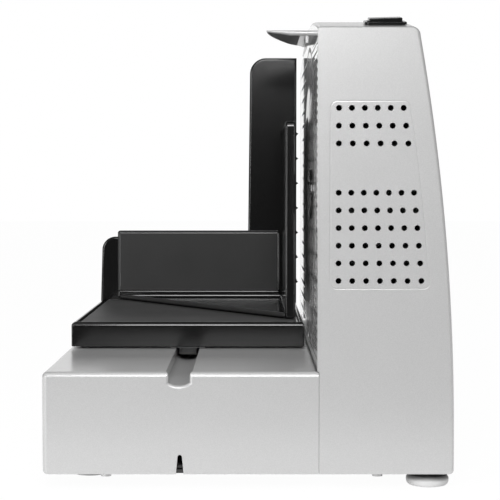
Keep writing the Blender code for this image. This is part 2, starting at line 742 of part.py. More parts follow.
def build_slot_cutter():
    """The carriage slot: straight sides, rounded lips and a dished floor, open through the near face."""
    half = SLOT_WIDTH / 2
    lip = SLOT_LIP
    over = BASE_TOP + OVERRUN
    side_floor = BASE_TOP - SLOT_DEPTH
    outline = [(SLOT_X - half - lip, over)]
    outline += arc((SLOT_X - half - lip, BASE_TOP - lip), lip, pi / 2, 0, 3)
    dish_radius = (half ** 2 + SLOT_DISH ** 2) / (2 * SLOT_DISH)
    reach = asin(half / dish_radius)
    centre = (SLOT_X, side_floor - SLOT_DISH + dish_radius)
    outline += arc(centre, dish_radius, 1.5 * pi - reach, 1.5 * pi + reach, 6)
    outline += arc((SLOT_X + half + lip, BASE_TOP - lip), lip, pi, pi / 2, 3)
    outline.append((SLOT_X + half + lip, over))
    return prism("carriage_slot", outline, "Y", NEAR - OVERRUN, FAR - SLOT_END_WALL)


def build_bottom_covers():
    """Flat covers that close both casings from below, with the feet and screws through them."""
    near, far = NEAR + WALL + GAP, FAR - WALL - GAP
    spans = {
        "base": (LEFT + WALL + GAP, BASE_RIGHT - WALL - GAP),
        "housing": (INNER_LEFT + GAP, side_reach(COVER_TOP) - WALL - GAP),
    }
    covers = {}
    for side, (left, right) in spans.items():
        cover = block(side + "_bottom_cover", (left, near, BOTTOM + GAP), (right, far, COVER_TOP), "black")
        for name, x, y in boss_places()[side]:
            carve(cover, rod(name + "_cover_hole", "Z", (x, y), SCREW_RADIUS + GAP, BOTTOM - OVERRUN,
                             COVER_TOP + OVERRUN, segments=10))
            screw_profile = [
                (0, BOTTOM - SCREW_HEAD_HEIGHT), (SCREW_HEAD_RADIUS, BOTTOM - SCREW_HEAD_HEIGHT),
                (SCREW_HEAD_RADIUS, BOTTOM), (SCREW_RADIUS, BOTTOM),
                (SCREW_RADIUS, BOTTOM + SCREW_LENGTH), (0, BOTTOM + SCREW_LENGTH),
            ]
            turned(name, screw_profile, "Z", (x, y), "steel", 10)
        for name, (x, y) in foot_places().items():
            if left < x < right:
                carve(cover, rod(name + "_hole", "Z", (x, y), FOOT_STEM_RADIUS + GAP, BOTTOM - OVERRUN,
                                 COVER_TOP + OVERRUN, segments=12))
        covers[side] = cover
    return covers


def build_feet():
    profile = [(FOOT_RADIUS * out_share, FOOT_HEIGHT * up_share) for out_share, up_share in FOOT_SHARES]
    profile += [(FOOT_STEM_RADIUS, FOOT_HEIGHT), (FOOT_STEM_RADIUS, COVER_TOP + WALL), (0, COVER_TOP + WALL)]
    for name, centre in foot_places().items():
        turned(name, profile, "Z", centre, "rubber", 24)


def build_joining_screws():
    for name, centre in joining_places().items():
        head = BASE_RIGHT - WALL - GAP
        profile = [
            (0, head - SCREW_HEAD_HEIGHT), (JOINING_HEAD_RADIUS, head - SCREW_HEAD_HEIGHT),
            (JOINING_HEAD_RADIUS, head), (JOINING_SCREW_RADIUS, head),
            (JOINING_SCREW_RADIUS, INNER_LEFT + OVERRUN), (0, INNER_LEFT + OVERRUN),
        ]
        turned(name, profile, "X", centre, "steel", 12)


def build_cord_gland():
    z = COVER_TOP + GAP + GLAND_RADIUS
    near = NEAR + WALL + GAP
    tube("cord_gland", "Y", (NOTCH_X, z), GLAND_BORE, GLAND_RADIUS, near, near + GLAND_LENGTH, "rubber")


def blade_circle(start, end, steps):
    return arc((BLADE_Y, BLADE_HEIGHT), RECESS_RADIUS, start, end, steps)


def build_blade_side_plate():
    """Steel plate on the near side of the blade, cut round the blade and along the arch."""
    near, far = NEAR + PLATE_EDGE_INSET, GUARD_NEAR - GAP
    low = BASE_TOP + PLATE_FOOT_GAP
    reach = acos((far - BLADE_Y) / RECESS_RADIUS)
    outline = [(far, low)]
    outline += blade_circle(-reach, reach - tau, 32)
    steps = 8
    outline += [(y, top_height(y) - PLATE_TOP_MARGIN)
                for y in (far + (near - far) * k / steps for k in range(steps + 1))]
    outline.append((near, low))
    return prism("blade_side_plate", outline, "X", CUT_PLANE, CUT_PLANE + PLATE_THICKNESS, "steel")


def build_stop_plate():
    """Plate that the food rests against on its way to the blade. Its place sets the slice thickness."""
    near, far = STOP_NEAR, FAR - STOP_END_MARGIN
    low = BASE_TOP + PLATE_FOOT_GAP
    reach = acos((near - BLADE_Y) / RECESS_RADIUS)
    outline = [(far, low)]
    steps = 10
    for k in range(steps + 1):
        y = far + (near - far) * k / steps
        outline.append((y, min(top_height(y) - PLATE_TOP_MARGIN, STOP_TOP)))
    outline += blade_circle(reach, -reach, 18)
    outline.append((near, low))
    return prism("stop_plate", outline, "X", CUT_PLANE, CUT_PLANE + STOP_THICKNESS, "steel")


def rod_places():
    """Guide rods of the stop plate carrier: place along the machine and height."""
    mid_y = CARRIER_NEAR + CARRIER_LENGTH / 2
    mid_z = (COVER_TOP + BASE_TOP) / 2
    return {
        "guide_rod_lower": (mid_y - ROD_SPREAD / 2, mid_z - ROD_SPREAD / 2),
        "guide_rod_upper": (mid_y + ROD_SPREAD / 2, mid_z + ROD_SPREAD / 2),
    }


def build_stop_carrier():
    left, right = CARRIER_LEFT, CARRIER_LEFT + CARRIER_THICKNESS
    low = BOTTOM + CARRIER_FOOT_GAP
    neck_base = BASE_TOP - WALL - 2 * GAP
    arm_low = BASE_TOP + CARRIER_ARM_LOW
    arm_high = arm_low + CARRIER_ARM_HEIGHT
    arm_left = CUT_PLANE + STOP_THICKNESS + GAP
    outline = [(left, low), (right, low), (right, arm_high), (arm_left, arm_high), (arm_left, arm_low),
               (left, arm_low)]
    neck_far = CARRIER_NEAR + CARRIER_NECK_LENGTH
    carrier = prism("stop_plate_carrier", outline, "Y", CARRIER_NEAR, neck_far, "nylon")
    foot = block("carrier_foot", (left, neck_far - OVERRUN, low),
                 (right, CARRIER_NEAR + CARRIER_LENGTH, neck_base))
    fuse(carrier, foot)
    for name, centre in rod_places().items():
        carve(carrier, rod(name + "_slide", "X", centre, ROD_RADIUS + GAP, left - OVERRUN, right + OVERRUN))
    pin_near = CARRIER_NEAR + CARRIER_LENGTH - CARRIER_THICKNESS
    carve(carrier, rod("pin_seat", "Y", (FOLLOWER_X, KNOB_Z), FOLLOWER_RADIUS + GAP, pin_near,
                       CARRIER_NEAR + CARRIER_LENGTH + OVERRUN, segments=12))
    pin = rod("follower_pin", "Y", (FOLLOWER_X, KNOB_Z), FOLLOWER_RADIUS, pin_near + GAP,
              CAM_FAR - CAM_THICKNESS + CAM_GROOVE_DEPTH - GAP, "steel", 12)
    return carrier, pin


def build_guides():
    mid_z = (COVER_TOP + BASE_TOP) / 2
    travel_right = CARRIER_LEFT + CARRIER_THICKNESS + STOP_TRAVEL
    left_low = CARRIER_LEFT - OVERRUN - ROD_SUPPORT_THICKNESS
    right_low = travel_right + OVERRUN
    for name, x in (("rod_support_left", left_low), ("rod_support_right", right_low)):
        support = block(name, (x, CARRIER_NEAR, COVER_TOP + GAP),
                        (x + ROD_SUPPORT_THICKNESS, CARRIER_NEAR + CARRIER_LENGTH, mid_z + ROD_SPREAD),
                        "iron")
        for rod_name, centre in rod_places().items():
            carve(support, rod(f"{name}_{rod_name}", "X", centre, ROD_RADIUS + GAP,
                               x - OVERRUN, x + ROD_SUPPORT_THICKNESS + OVERRUN))
    for name, centre in rod_places().items():
        rod(name, "X", centre, ROD_RADIUS, left_low, right_low + ROD_SUPPORT_THICKNESS, "steel")


def build_knob():
    """Thickness knob, its shaft and the spiral cam that carries the follower pin in and out."""
    cam_near = CAM_FAR - CAM_THICKNESS
    cam = rod("knob_cam", "Y", (KNOB_X, KNOB_Z), CAM_RADIUS, cam_near, CAM_FAR, "nylon", 48)
    carve(cam, build_cam_groove(cam_near))
    carve(cam, rod("cam_bore", "Y", (KNOB_X, KNOB_Z), KNOB_SHAFT_RADIUS + GAP,
                   cam_near + CAM_GROOVE_DEPTH / 2, CAM_FAR + OVERRUN))
    dial_low = FAR + GAP
    knob_low = dial_low + DIAL_THICKNESS + GAP
    knob_high = knob_low + KNOB_LENGTH
    shaft = rod("knob_shaft", "Y", (KNOB_X, KNOB_Z), KNOB_SHAFT_RADIUS,
                cam_near + CAM_GROOVE_DEPTH / 2 + GAP, knob_high - KNOB_CROWN, "steel")
    tube("dial_ring", "Y", (KNOB_X, KNOB_Z), KNOB_SHAFT_RADIUS + 2 * GAP, CAM_RADIUS, dial_low,
         dial_low + DIAL_THICKNESS, "black", 48)
    bore = KNOB_SHAFT_RADIUS + GAP
    seat = knob_high - KNOB_CROWN + GAP
    edge = KNOB_EDGE
    depth_share = KNOB_FLUTE_DEPTH / KNOB_RADIUS
    profile = [
        (0, seat), (bore, seat), (bore, knob_low), (KNOB_RADIUS, knob_low),
        (KNOB_RADIUS, knob_high - edge), (KNOB_RADIUS - edge, knob_high), (0, knob_high),
    ]
    knob = turned("thickness_knob", profile, "Y", (KNOB_X, KNOB_Z), "black", 2 * KNOB_FLUTES,
                  ripple=lambda angle: 1 - depth_share * (round(angle * KNOB_FLUTES / pi - 0.5) % 2))
    return cam, shaft, knob


def build_cam_groove(cam_near):
    """A spiral channel whose middle moves in by the plate's travel over the knob's range.

    Seen from the near side, the pin starts at the outer end, on the knob's left.
    """
    steps = 36
    lead_in, lead_out = 1, 3
    points = []
    faces = []
    low, high = cam_near - OVERRUN, cam_near + CAM_GROOVE_DEPTH
    for k in range(-lead_in, steps + lead_out + 1):
        turn = KNOB_RANGE * k / steps
        radius = CAM_START_RADIUS - CAM_STEP * turn
        angle = pi + turn
        inner, outer = radius - CAM_GROOVE_WIDTH / 2, radius + CAM_GROOVE_WIDTH / 2
        for reach, y in ((inner, low), (outer, low), (outer, high), (inner, high)):
            points.append((KNOB_X + reach * cos(angle), y, KNOB_Z + reach * sin(angle)))
    spans = lead_in + steps + lead_out
    for k in range(spans):
        a, b = 4 * k, 4 * (k + 1)
        for i in range(4):
            j = (i + 1) % 4
            faces.append([a + i, a + j, b + j, b + i])
    last = 4 * spans
    faces += [[0, 1, 2, 3], [last + 3, last + 2, last + 1, last]]
    return add_object("cam_groove", points, faces)


def build_blade():
    """Dished disc with a ground edge, its hub, lock cap, shaft and worm wheel."""
    centre = (BLADE_Y, BLADE_HEIGHT)
    face, back = CUT_PLANE, CUT_PLANE + BLADE_THICKNESS
    rim = BLADE_RADIUS - BLADE_RIM_WIDTH
    dish = rim - BLADE_DISH_STEP
    bore = SHAFT_RADIUS + GAP
    profile = [
        (bore, face + BLADE_DISH), (dish, face + BLADE_DISH), (rim, face), (BLADE_RADIUS, face),
        (BLADE_RADIUS - BLADE_EDGE_WIDTH, back), (rim, back), (dish, back + BLADE_DISH),
        (bore, back + BLADE_DISH),
    ]
    blade = turned("blade", profile, "X", centre, "steel", BLADE_SEGMENTS)
    hub_left = back + BLADE_DISH + GAP
    hub = tube("blade_hub", "X", centre, bore, HUB_RADIUS, hub_left, hub_left + HUB_THICKNESS, "nylon", 32)
    cap = rod("blade_lock_cap", "X", centre, LOCK_RADIUS, face, face + BLADE_DISH - GAP, "black", 32)
    shaft_right = gearbox_right() + GAP + GEARBOX_COVER
    shaft = rod("blade_shaft", "X", centre, SHAFT_RADIUS, face + BLADE_DISH, shaft_right, "steel")
    wheel = build_worm_wheel(centre)
    return blade, hub, cap, shaft, wheel


def build_worm_wheel(centre):
    tip = WHEEL_PITCH_RADIUS + TOOTH_ADDENDUM
    root = WHEEL_PITCH_RADIUS - TOOTH_DEDENDUM
    tooth_angle = tau / WHEEL_TEETH
    outline = []
    for tooth in range(WHEEL_TEETH):
        middle = -pi / 2 + (tooth + 0.5) * tooth_angle
        for radius, share in ((root, -TOOTH_ROOT_SHARE), (tip, -TOOTH_TIP_SHARE), (tip, TOOTH_TIP_SHARE),
                              (root, TOOTH_ROOT_SHARE)):
            angle = middle + share * tooth_angle
            outline.append((centre[0] + radius * cos(angle), centre[1] + radius * sin(angle)))
    low = GEAR_X - WHEEL_WIDTH / 2
    wheel = prism("worm_wheel", outline, "X", low, low + WHEEL_WIDTH, "brass")
    carve(wheel, rod("wheel_bore", "X", centre, SHAFT_RADIUS + GAP, low - OVERRUN,
                     low + WHEEL_WIDTH + OVERRUN))
    return wheel


def gearbox_right():
    return GEAR_X + WHEEL_WIDTH / 2 + GEAR_ROOM


def gearbox_span():
    """Near and far faces, and lowest and highest faces, of the gearbox."""
    room = WHEEL_PITCH_RADIUS + TOOTH_ADDENDUM + GEAR_ROOM + GEARBOX_WALL
    low = WORM_Z - WORM_PITCH_RADIUS - TOOTH_ADDENDUM - GEAR_ROOM - GEARBOX_WALL
    return BLADE_Y - room, BLADE_Y + room, low, BLADE_HEIGHT + room


def build_gearbox():
    near, far, low, high = gearbox_span()
    left, right = INNER_LEFT + GAP, gearbox_right()
    centre = (BLADE_Y, BLADE_HEIGHT)
    gearbox = block("gearbox_housing", (left, near, low), (right, far, high), "iron")
    carve(gearbox, block("gear_room", (left + GEARBOX_WALL, near + GEARBOX_WALL, low + GEARBOX_WALL),
                         (right + OVERRUN, far - GEARBOX_WALL, high - GEARBOX_WALL)))
    carve(gearbox, rod("front_seat", "X", centre, BEARING_RADIUS + GAP, left - OVERRUN,
                       left + GEARBOX_WALL + OVERRUN, segments=24))
    axis = (GEAR_X, WORM_Z)
    carve(gearbox, rod("rotor_seat_near", "Y", axis, ROTOR_BEARING_RADIUS + GAP, near - OVERRUN,
                       near + GEARBOX_WALL + OVERRUN))
    carve(gearbox, rod("rotor_seat_far", "Y", axis, ROTOR_SHAFT_RADIUS + GAP, far - GEARBOX_WALL - OVERRUN,
                       far + OVERRUN))
    cover = block("gearbox_cover", (right + GAP, near, low), (right + GAP + GEARBOX_COVER, far, high), "iron")
    carve(cover, rod("rear_seat", "X", centre, BEARING_RADIUS + GAP, right, right + GEARBOX_COVER + OVERRUN,
                     segments=24))
    bore = SHAFT_RADIUS + GAP
    tube("shaft_bearing_front", "X", centre, bore, BEARING_RADIUS, left + GAP, left + GAP + BEARING_WIDTH,
         "brass", 24)
    tube("shaft_bearing_rear", "X", centre, bore, BEARING_RADIUS, right + GAP, right + GAP + BEARING_WIDTH,
         "brass", 24)
    return gearbox


def build_motor():
    """Stator, brush gear and end shield, then the pieces that turn: rotor, fan and worm."""
    axis = (GEAR_X, WORM_Z)
    gearbox_near = gearbox_span()[0]
    ring_near = gearbox_near - GAP - BRUSH_RING_LENGTH
    shaft_near = NEAR + WALL + MOTOR_NEAR_ROOM
    fan_near = shaft_near + ROTOR_END_MARGIN
    fan_far = fan_near + FAN_WIDTH
    shield_near = fan_far + FAN_DISTANCE
    stator_near = shield_near + END_SHIELD_THICKNESS + GAP
    stator_far = ring_near - GAP
    ring_bore = STATOR_RADIUS - GEARBOX_WALL
    tube("stator", "Y", axis, STATOR_BORE, STATOR_RADIUS, stator_near, stator_far, "iron", 32)
    tube("brush_carrier", "Y", axis, ring_bore, STATOR_RADIUS, ring_near, ring_near + BRUSH_RING_LENGTH,
         "nylon", 32)
    tube("motor_end_shield", "Y", axis, ROTOR_BEARING_RADIUS + GAP, STATOR_RADIUS, shield_near,
         shield_near + END_SHIELD_THICKNESS, "iron", 32)
    bore = ROTOR_SHAFT_RADIUS + GAP
    tube("motor_bearing_near", "Y", axis, bore, ROTOR_BEARING_RADIUS, shield_near,
         shield_near + END_SHIELD_THICKNESS, "brass")
    tube("motor_bearing_far", "Y", axis, bore, ROTOR_BEARING_RADIUS, gearbox_near,
         gearbox_near + BEARING_WIDTH, "brass")
    brush_y = ring_near + BRUSH_RING_LENGTH / 2
    half = BRUSH_WIDTH / 2
    inner, outer = COMMUTATOR_RADIUS + GAP, ring_bore * cos(pi / 32) - GAP - half ** 2 / ring_bore
    for name, side in (("brush_left", -1), ("brush_right", 1)):
        ends = sorted((GEAR_X + side * inner, GEAR_X + side * outer))
        block(name, (ends[0], brush_y - half, WORM_Z - half), (ends[1], brush_y + half, WORM_Z + half),
              "carbon")

    shaft = rod("motor_shaft", "Y", axis, ROTOR_SHAFT_RADIUS, shaft_near, gearbox_span()[1], "steel")
    armature = tube("armature", "Y", axis, bore, STATOR_BORE - ARMATURE_AIR_GAP,
                    stator_near - ARMATURE_OVERHANG + END_SHIELD_THICKNESS,
                    stator_far - ARMATURE_OVERHANG, "copper", 24)
    commutator = tube("commutator", "Y", axis, bore, COMMUTATOR_RADIUS, brush_y - COMMUTATOR_LENGTH / 2,
                      brush_y + COMMUTATOR_LENGTH / 2, "copper", 24)
    fan = build_fan(axis, fan_near, fan_far)
    worm = build_worm(axis)
    return shaft, armature, commutator, fan, worm


def build_fan(axis, low, high):
    """A hub with straight blades round it."""
    outline = []
    reach = STATOR_RADIUS - FAN_RIM_GAP
    for blade in range(FAN_BLADES):
        middle = tau * blade / FAN_BLADES
        for out_share, turn_share in FAN_BLADE_SHARES:
            angle = middle + turn_share * tau / FAN_BLADES
            radius = reach * out_share
            outline.append((axis[0] + radius * cos(angle), axis[1] + radius * sin(angle)))
    fan = prism("cooling_fan", outline, "Y", low, high, "black")
    carve(fan, rod("fan_bore", "Y", axis, ROTOR_SHAFT_RADIUS + GAP, low - OVERRUN, high + OVERRUN))
    return fan


def build_worm(axis):
    """One thread round a core, as a skin whose radius follows the thread."""
    segments = 10
    tip = WORM_PITCH_RADIUS + TOOTH_ADDENDUM
    root = WORM_PITCH_RADIUS - TOOTH_DEDENDUM
    step = TOOTH_PITCH / segments
    count = int(WORM_LENGTH / step / 2)
    rings = []
    bore = ROTOR_SHAFT_RADIUS + GAP
    for k in range(-count, count + 1):
        ring = []
        for i in range(segments):
            phase = (k - i) / segments
            away = abs(phase - round(phase))
            height = min(max((TOOTH_ROOT_SHARE - away) / (TOOTH_ROOT_SHARE - TOOTH_TIP_SHARE), 0), 1)
            if abs(k) == count:
                height = 0
            radius = root + (tip - root) * height
            angle = tau * i / segments
            ring.append((axis[0] + radius * sin(angle), BLADE_Y + k * step, axis[1] + radius * cos(angle)))
        rings.append(ring)
    worm = loft("worm", rings, "steel")
    length = count * step + OVERRUN
    carve(worm, rod("worm_bore", "Y", axis, bore, BLADE_Y - length, BLADE_Y + length))
    return worm


def build_switch():
    frame = switch_frame()
    half_length, half_width = SWITCH_LENGTH / 2, SWITCH_WIDTH / 2
    inner_length, inner_width = half_length - BEZEL_RIM, half_width - BEZEL_RIM
    corner = SWITCH_CORNER
    outline = rounded_outline((-half_length, -half_width), (half_length, half_width), (corner,) * 4)
    bezel = prism("switch_bezel", outline, "Z", GAP, BEZEL_HEIGHT, "black", frame)
    carve(bezel, block("bezel_window", (-inner_length, -inner_width, -OVERRUN),
                       (inner_length, inner_width, BEZEL_HEIGHT + OVERRUN), frame=frame))
    low = -SWITCH_DEPTH
    body = block("switch_body", (-inner_length, -inner_width, low), (inner_length, inner_width, -WALL / 2),
                 "black", frame)
    well_top = OVERRUN
    carve(body, block("switch_well", (-inner_length + GAP, -inner_width + ROCKER_GAP, -SWITCH_DEPTH / 2),
                      (inner_length - GAP, inner_width - ROCKER_GAP, well_top), frame=frame))
    reach = inner_length - ROCKER_GAP - GAP
    depth = inner_width - 2 * ROCKER_GAP
    peak = BEZEL_HEIGHT + ROCKER_PROUD
    sag = reach * sin(ROCKER_TILT)
    keel = SWITCH_DEPTH / 2 - 2 * ROCKER_GAP
    shape = [(-reach, peak - sag), (-reach, 0), (0, -keel), (reach, 0), (reach, peak - sag),
             (0, peak - 2 * sag)]
    tilt = Matrix.Rotation(-ROCKER_TILT, 4, "Y")
    rocker = prism("switch_rocker", shape, "Y", -depth, depth, "black", frame @ tilt)
    return rocker


def build_blade_guard():
    """Guard over the top of the blade: a flat wedge level with the crown, with a tab on the housing."""
    near, far = GUARD_NEAR, GUARD_FAR
    right = HOUSING_LEFT - GAP
    tip = right - GUARD_REACH
    steps = 10
    left_edge = [(near, tip)]
    for k in range(1, steps + 1):
        share = k / steps
        left_edge.append((near + (far - near) * share, tip + GUARD_REACH * share ** GUARD_TAPER))
    low = HIGH_WALL_TOP + GUARD_CLEARANCE
    rings = []
    for y, x in left_edge:
        x = min(x, right - GUARD_TAB_THICKNESS)
        high = top_height(min(y, NEAR + CROWN_BACK)) - GUARD_DROP
        soft = GUARD_EDGE
        rings.append([(x, y, low), (right, y, low), (right, y, high), (x + soft, y, high),
                      (x, y, high - soft)])
    guard = loft("blade_guard", rings, "silver")
    tab_low = STOP_TOP + PLATE_FOOT_GAP
    tab_near = near + GUARD_TAB_THICKNESS
    tab = block("guard_tab", (right - GUARD_TAB_THICKNESS, tab_near, tab_low),
                (right, tab_near + GUARD_TAB_LENGTH, low + GUARD_CLEARANCE))
    fuse(guard, tab)
    return guard


def build_carriage():
    """Tray that runs along the blade, the wall at its far end and the slide shoe in the base's slot."""
    r = TRAY_CORNER
    outline = rounded_outline((TRAY_LEFT, TRAY_NEAR), (TRAY_RIGHT, TRAY_FAR), (r, r, GAP, GAP))
    tray = prism("carriage_tray", outline, "Z", TRAY_BOTTOM, TRAY_TOP, "black")
    floor = TRAY_TOP - TRAY_RIM
    carve(tray, block("tray_top", (TRAY_LEFT + TRAY_RIM_WIDTH, TRAY_NEAR + TRAY_RIM_WIDTH, floor),
                      (TRAY_RIGHT + OVERRUN, TRAY_FAR + OVERRUN, TRAY_TOP + OVERRUN)))
    carve(tray, block("tray_under", (TRAY_LEFT + WALL, TRAY_NEAR + WALL, TRAY_BOTTOM - OVERRUN),
                      (TRAY_RIGHT - WALL, TRAY_FAR - WALL, floor - WALL)))
    low = TRAY_BOTTOM
    outline = [(TRAY_LEFT, low), (WALL_RIGHT, low), (WALL_RIGHT, HIGH_WALL_TOP)]
    corner = HIGH_WALL_CORNER
    outline += arc((HIGH_WALL_LEFT + corner, HIGH_WALL_TOP - corner), corner, pi / 2, pi, 5)
    outline.append((HIGH_WALL_LEFT, LOW_WALL_TOP))
    corner = LOW_WALL_CORNER
    outline += arc((TRAY_LEFT + corner, LOW_WALL_TOP - corner), corner, pi / 2, pi, 5)
    wall = prism("carriage_wall", outline, "Y", WALL_NEAR, WALL_FAR, "black")
    for number, share in enumerate(WALL_SCREW_SHARES):
        x = TRAY_LEFT + (TRAY_RIGHT - TRAY_LEFT) * share
        z = TRAY_BOTTOM + TRAY_HEIGHT / 2
        hole = SCREW_RADIUS + GAP
        carve(wall, rod(f"wall_hole_{number}", "Y", (x, z), hole, WALL_NEAR - OVERRUN, WALL_FAR + OVERRUN,
                        segments=10))
        carve(tray, rod(f"tray_hole_{number}", "Y", (x, z), hole, TRAY_FAR - WALL - OVERRUN,
                        TRAY_FAR + OVERRUN, segments=10))
        head = WALL_FAR + GAP
        profile = [(0, TRAY_FAR - WALL), (SCREW_RADIUS, TRAY_FAR - WALL), (SCREW_RADIUS, head),
                   (SCREW_HEAD_RADIUS, head), (SCREW_HEAD_RADIUS, head + SCREW_HEAD_HEIGHT),
                   (0, head + SCREW_HEAD_HEIGHT)]
        yield turned(f"wall_screw_{number + 1}", profile, "Y", (x, z), "steel", 10)
    half = SLOT_WIDTH / 2 - GAP
    flange = half + SHOE_FLANGE
    top = TRAY_BOTTOM - GAP
    under = BASE_TOP + GAP
    shoe_outline = [(SLOT_X - flange, under), (SLOT_X - half, under), (SLOT_X - half, BASE_TOP - SHOE_DEPTH),
                    (SLOT_X + half, BASE_TOP - SHOE_DEPTH), (SLOT_X + half, under), (SLOT_X + flange, under),
                    (SLOT_X + flange, top), (SLOT_X - flange, top)]
    shoe = prism("carriage_shoe", shoe_outline, "Y", TRAY_NEAR + SHOE_INSET, TRAY_FAR - SHOE_INSET, "black")
    yield from (tray, wall, shoe)


def build_pusher():
    """Food pusher that hooks over the low wall: spiked plate, and a panel with gusset, hook and grip."""
    plate_near = PANEL_FAR - PUSHER_PLATE_LENGTH
    r = PUSHER_PLATE_CORNER
    low, high = PUSHER_BOTTOM, PUSHER_PLATE_TOP
    outline = rounded_outline((plate_near, low), (PANEL_FAR, high), (GAP, GAP, r, r))
    plate = prism("pusher_plate", outline, "X", PUSHER_PLATE_LEFT, PUSHER_RIGHT, "black")
    fuse(plate, build_spikes(plate_near))

    left = TRAY_LEFT - TRAY_LEFT_INSET + PANEL_LEFT_INSET
    right = PUSHER_PLATE_LEFT - GAP
    panel = block("pusher_panel", (left, PANEL_NEAR, low), (right, PANEL_FAR, PANEL_TOP), "black")
    gusset = prism("pusher_gusset", [(left, PANEL_NEAR + OVERRUN / 2), (right - OVERRUN, plate_near),
                                     (right, plate_near), (right, PANEL_NEAR + OVERRUN / 2)],
                   "Z", low, low + GUSSET_HEIGHT)
    hook_right = HIGH_WALL_LEFT - HOOK_GAP_TO_WALL
    rib = block("panel_rib", (left, PANEL_NEAR - PANEL_RIB_DEPTH, low),
                (right, PANEL_NEAR + OVERRUN / 2, low + PANEL_RIB_HEIGHT))
    hook_low = LOW_WALL_TOP + GAP
    hook_near = WALL_FAR + GAP
    hook_far = hook_near + PANEL_THICKNESS
    hook_top = PANEL_TOP - WALL / 2
    hook = prism("pusher_hook", [(PANEL_NEAR + OVERRUN, hook_low), (hook_near, hook_low),
                                 (hook_near, PANEL_TOP - HOOK_DROP), (hook_far, PANEL_TOP - HOOK_DROP),
                                 (hook_far, hook_top), (PANEL_NEAR + OVERRUN, hook_top)],
                 "X", left + WALL, hook_right)
    middle = (left + hook_right) / 2
    grip_centre = PANEL_TOP - HOOK_DROP / 2
    grip_half = HOOK_DROP / 2 - WALL
    grip_outline = [(hook_far - WALL / 2, grip_centre - grip_half)]
    grip_outline += arc((hook_far + GRIP_DEPTH - grip_half, grip_centre), grip_half, -pi / 2, pi / 2, 8)
    grip_outline.append((hook_far - WALL / 2, grip_centre + grip_half))
    grip = prism("pusher_grip", grip_outline, "X", middle - GRIP_LENGTH / 2, middle + GRIP_LENGTH / 2)
    fuse(panel, gusset, rib, hook, grip)
    return plate, panel


def build_spikes(plate_near):
    """Rows of small four-sided points on the pusher's blade-side face."""
    points = []
    faces = []
    half = SPIKE_WIDTH / 2
    rows = int((PUSHER_PLATE_TOP - PUSHER_BOTTOM) / SPIKE_PITCH)
    columns = int(PUSHER_PLATE_LENGTH / SPIKE_PITCH)
    for row in range(rows):
        z = PUSHER_PLATE_TOP - SPIKE_PITCH * (row + 0.5)
        for column in range(columns):
            y = plate_near + SPIKE_PITCH * (column + 0.5)
            start = len(points)
            inside = PUSHER_RIGHT - half
            points += [(inside, y - half, z - half), (inside, y + half, z - half),
                       (inside, y + half, z + half), (inside, y - half, z + half),
                       (PUSHER_RIGHT + SPIKE_LENGTH, y, z)]
            faces.append([start, start + 1, start + 2, start + 3])
            for i in range(4):
                faces.append([start + i, start + (i + 1) % 4, start + 4])
    return add_object("pusher_spikes", points, faces)


def main():
    clear_scene()
    build_motor_housing()
    build_base_housing()
    build_bottom_covers()
    build_feet()
    build_joining_screws()
    build_cord_gland()
    build_blade_side_plate()
    build_blade_guard()
    build_gearbox()
    build_guides()

    blade_axis = axis_empty("blade_axis", (GEAR_X, BLADE_Y, BLADE_HEIGHT))
    hang(blade_axis, *build_blade())
    motor_axis = axis_empty("motor_axis", (GEAR_X, BLADE_Y, WORM_Z))
    hang(motor_axis, *build_motor())
    stop_slide = axis_empty("stop_slide", (CUT_PLANE, FAR, BASE_TOP))
    hang(stop_slide, build_stop_plate(), *build_stop_carrier())
    knob_axis = axis_empty("knob_axis", (KNOB_X, FAR, KNOB_Z))
    hang(knob_axis, *build_knob())
    switch_axis = axis_empty("switch_axis", switch_frame().to_translation())
    hang(switch_axis, build_switch())
    carriage_slide = axis_empty("carriage_slide", (SLOT_X, TRAY_NEAR, BASE_TOP))
    hang(carriage_slide, *build_carriage())
    pusher_slide = axis_empty("pusher_slide", (TRAY_LEFT, WALL_FAR, LOW_WALL_TOP))
    hang(pusher_slide, *build_pusher())


main()
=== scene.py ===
"""Looks of an electric food slicer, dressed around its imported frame.

Metres, +Z up. +X points from the carriage to the motor side, +Y away from the camera.
"""

import json
from math import asin, acos, cos, pi, radians, sin, sqrt, tau

import bmesh
import bpy
from mathutils import Matrix, Vector


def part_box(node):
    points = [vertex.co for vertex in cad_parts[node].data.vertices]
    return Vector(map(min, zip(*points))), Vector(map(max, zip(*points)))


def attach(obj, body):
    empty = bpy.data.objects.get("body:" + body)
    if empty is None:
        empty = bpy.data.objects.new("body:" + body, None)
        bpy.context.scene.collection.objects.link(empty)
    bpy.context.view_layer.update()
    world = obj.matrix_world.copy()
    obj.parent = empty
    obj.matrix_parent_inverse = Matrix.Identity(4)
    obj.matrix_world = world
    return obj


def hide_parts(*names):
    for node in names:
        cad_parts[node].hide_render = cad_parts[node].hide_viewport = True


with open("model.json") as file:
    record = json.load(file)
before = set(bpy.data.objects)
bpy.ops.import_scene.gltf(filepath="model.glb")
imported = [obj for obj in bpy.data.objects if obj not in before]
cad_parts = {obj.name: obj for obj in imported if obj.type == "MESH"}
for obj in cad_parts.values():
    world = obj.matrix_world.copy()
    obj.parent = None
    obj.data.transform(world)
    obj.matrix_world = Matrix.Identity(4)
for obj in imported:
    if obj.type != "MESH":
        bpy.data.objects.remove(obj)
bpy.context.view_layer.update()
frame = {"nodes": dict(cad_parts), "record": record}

# Places taken from the frame
HOUSING_LOW, HOUSING_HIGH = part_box("motor_housing")
BASE_LOW, BASE_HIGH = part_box("base_housing")
BLADE_LOW, BLADE_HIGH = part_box("blade")
TRAY_LOW, TRAY_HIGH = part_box("carriage_tray")
WALL_LOW, WALL_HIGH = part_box("carriage_wall")
PLATE_LOW, PLATE_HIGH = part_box("pusher_plate")
PANEL_LOW, PANEL_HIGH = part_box("pusher_panel")
STOP_LOW, STOP_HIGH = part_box("stop_plate")
SIDE_PLATE_LOW, SIDE_PLATE_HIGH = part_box("blade_side_plate")
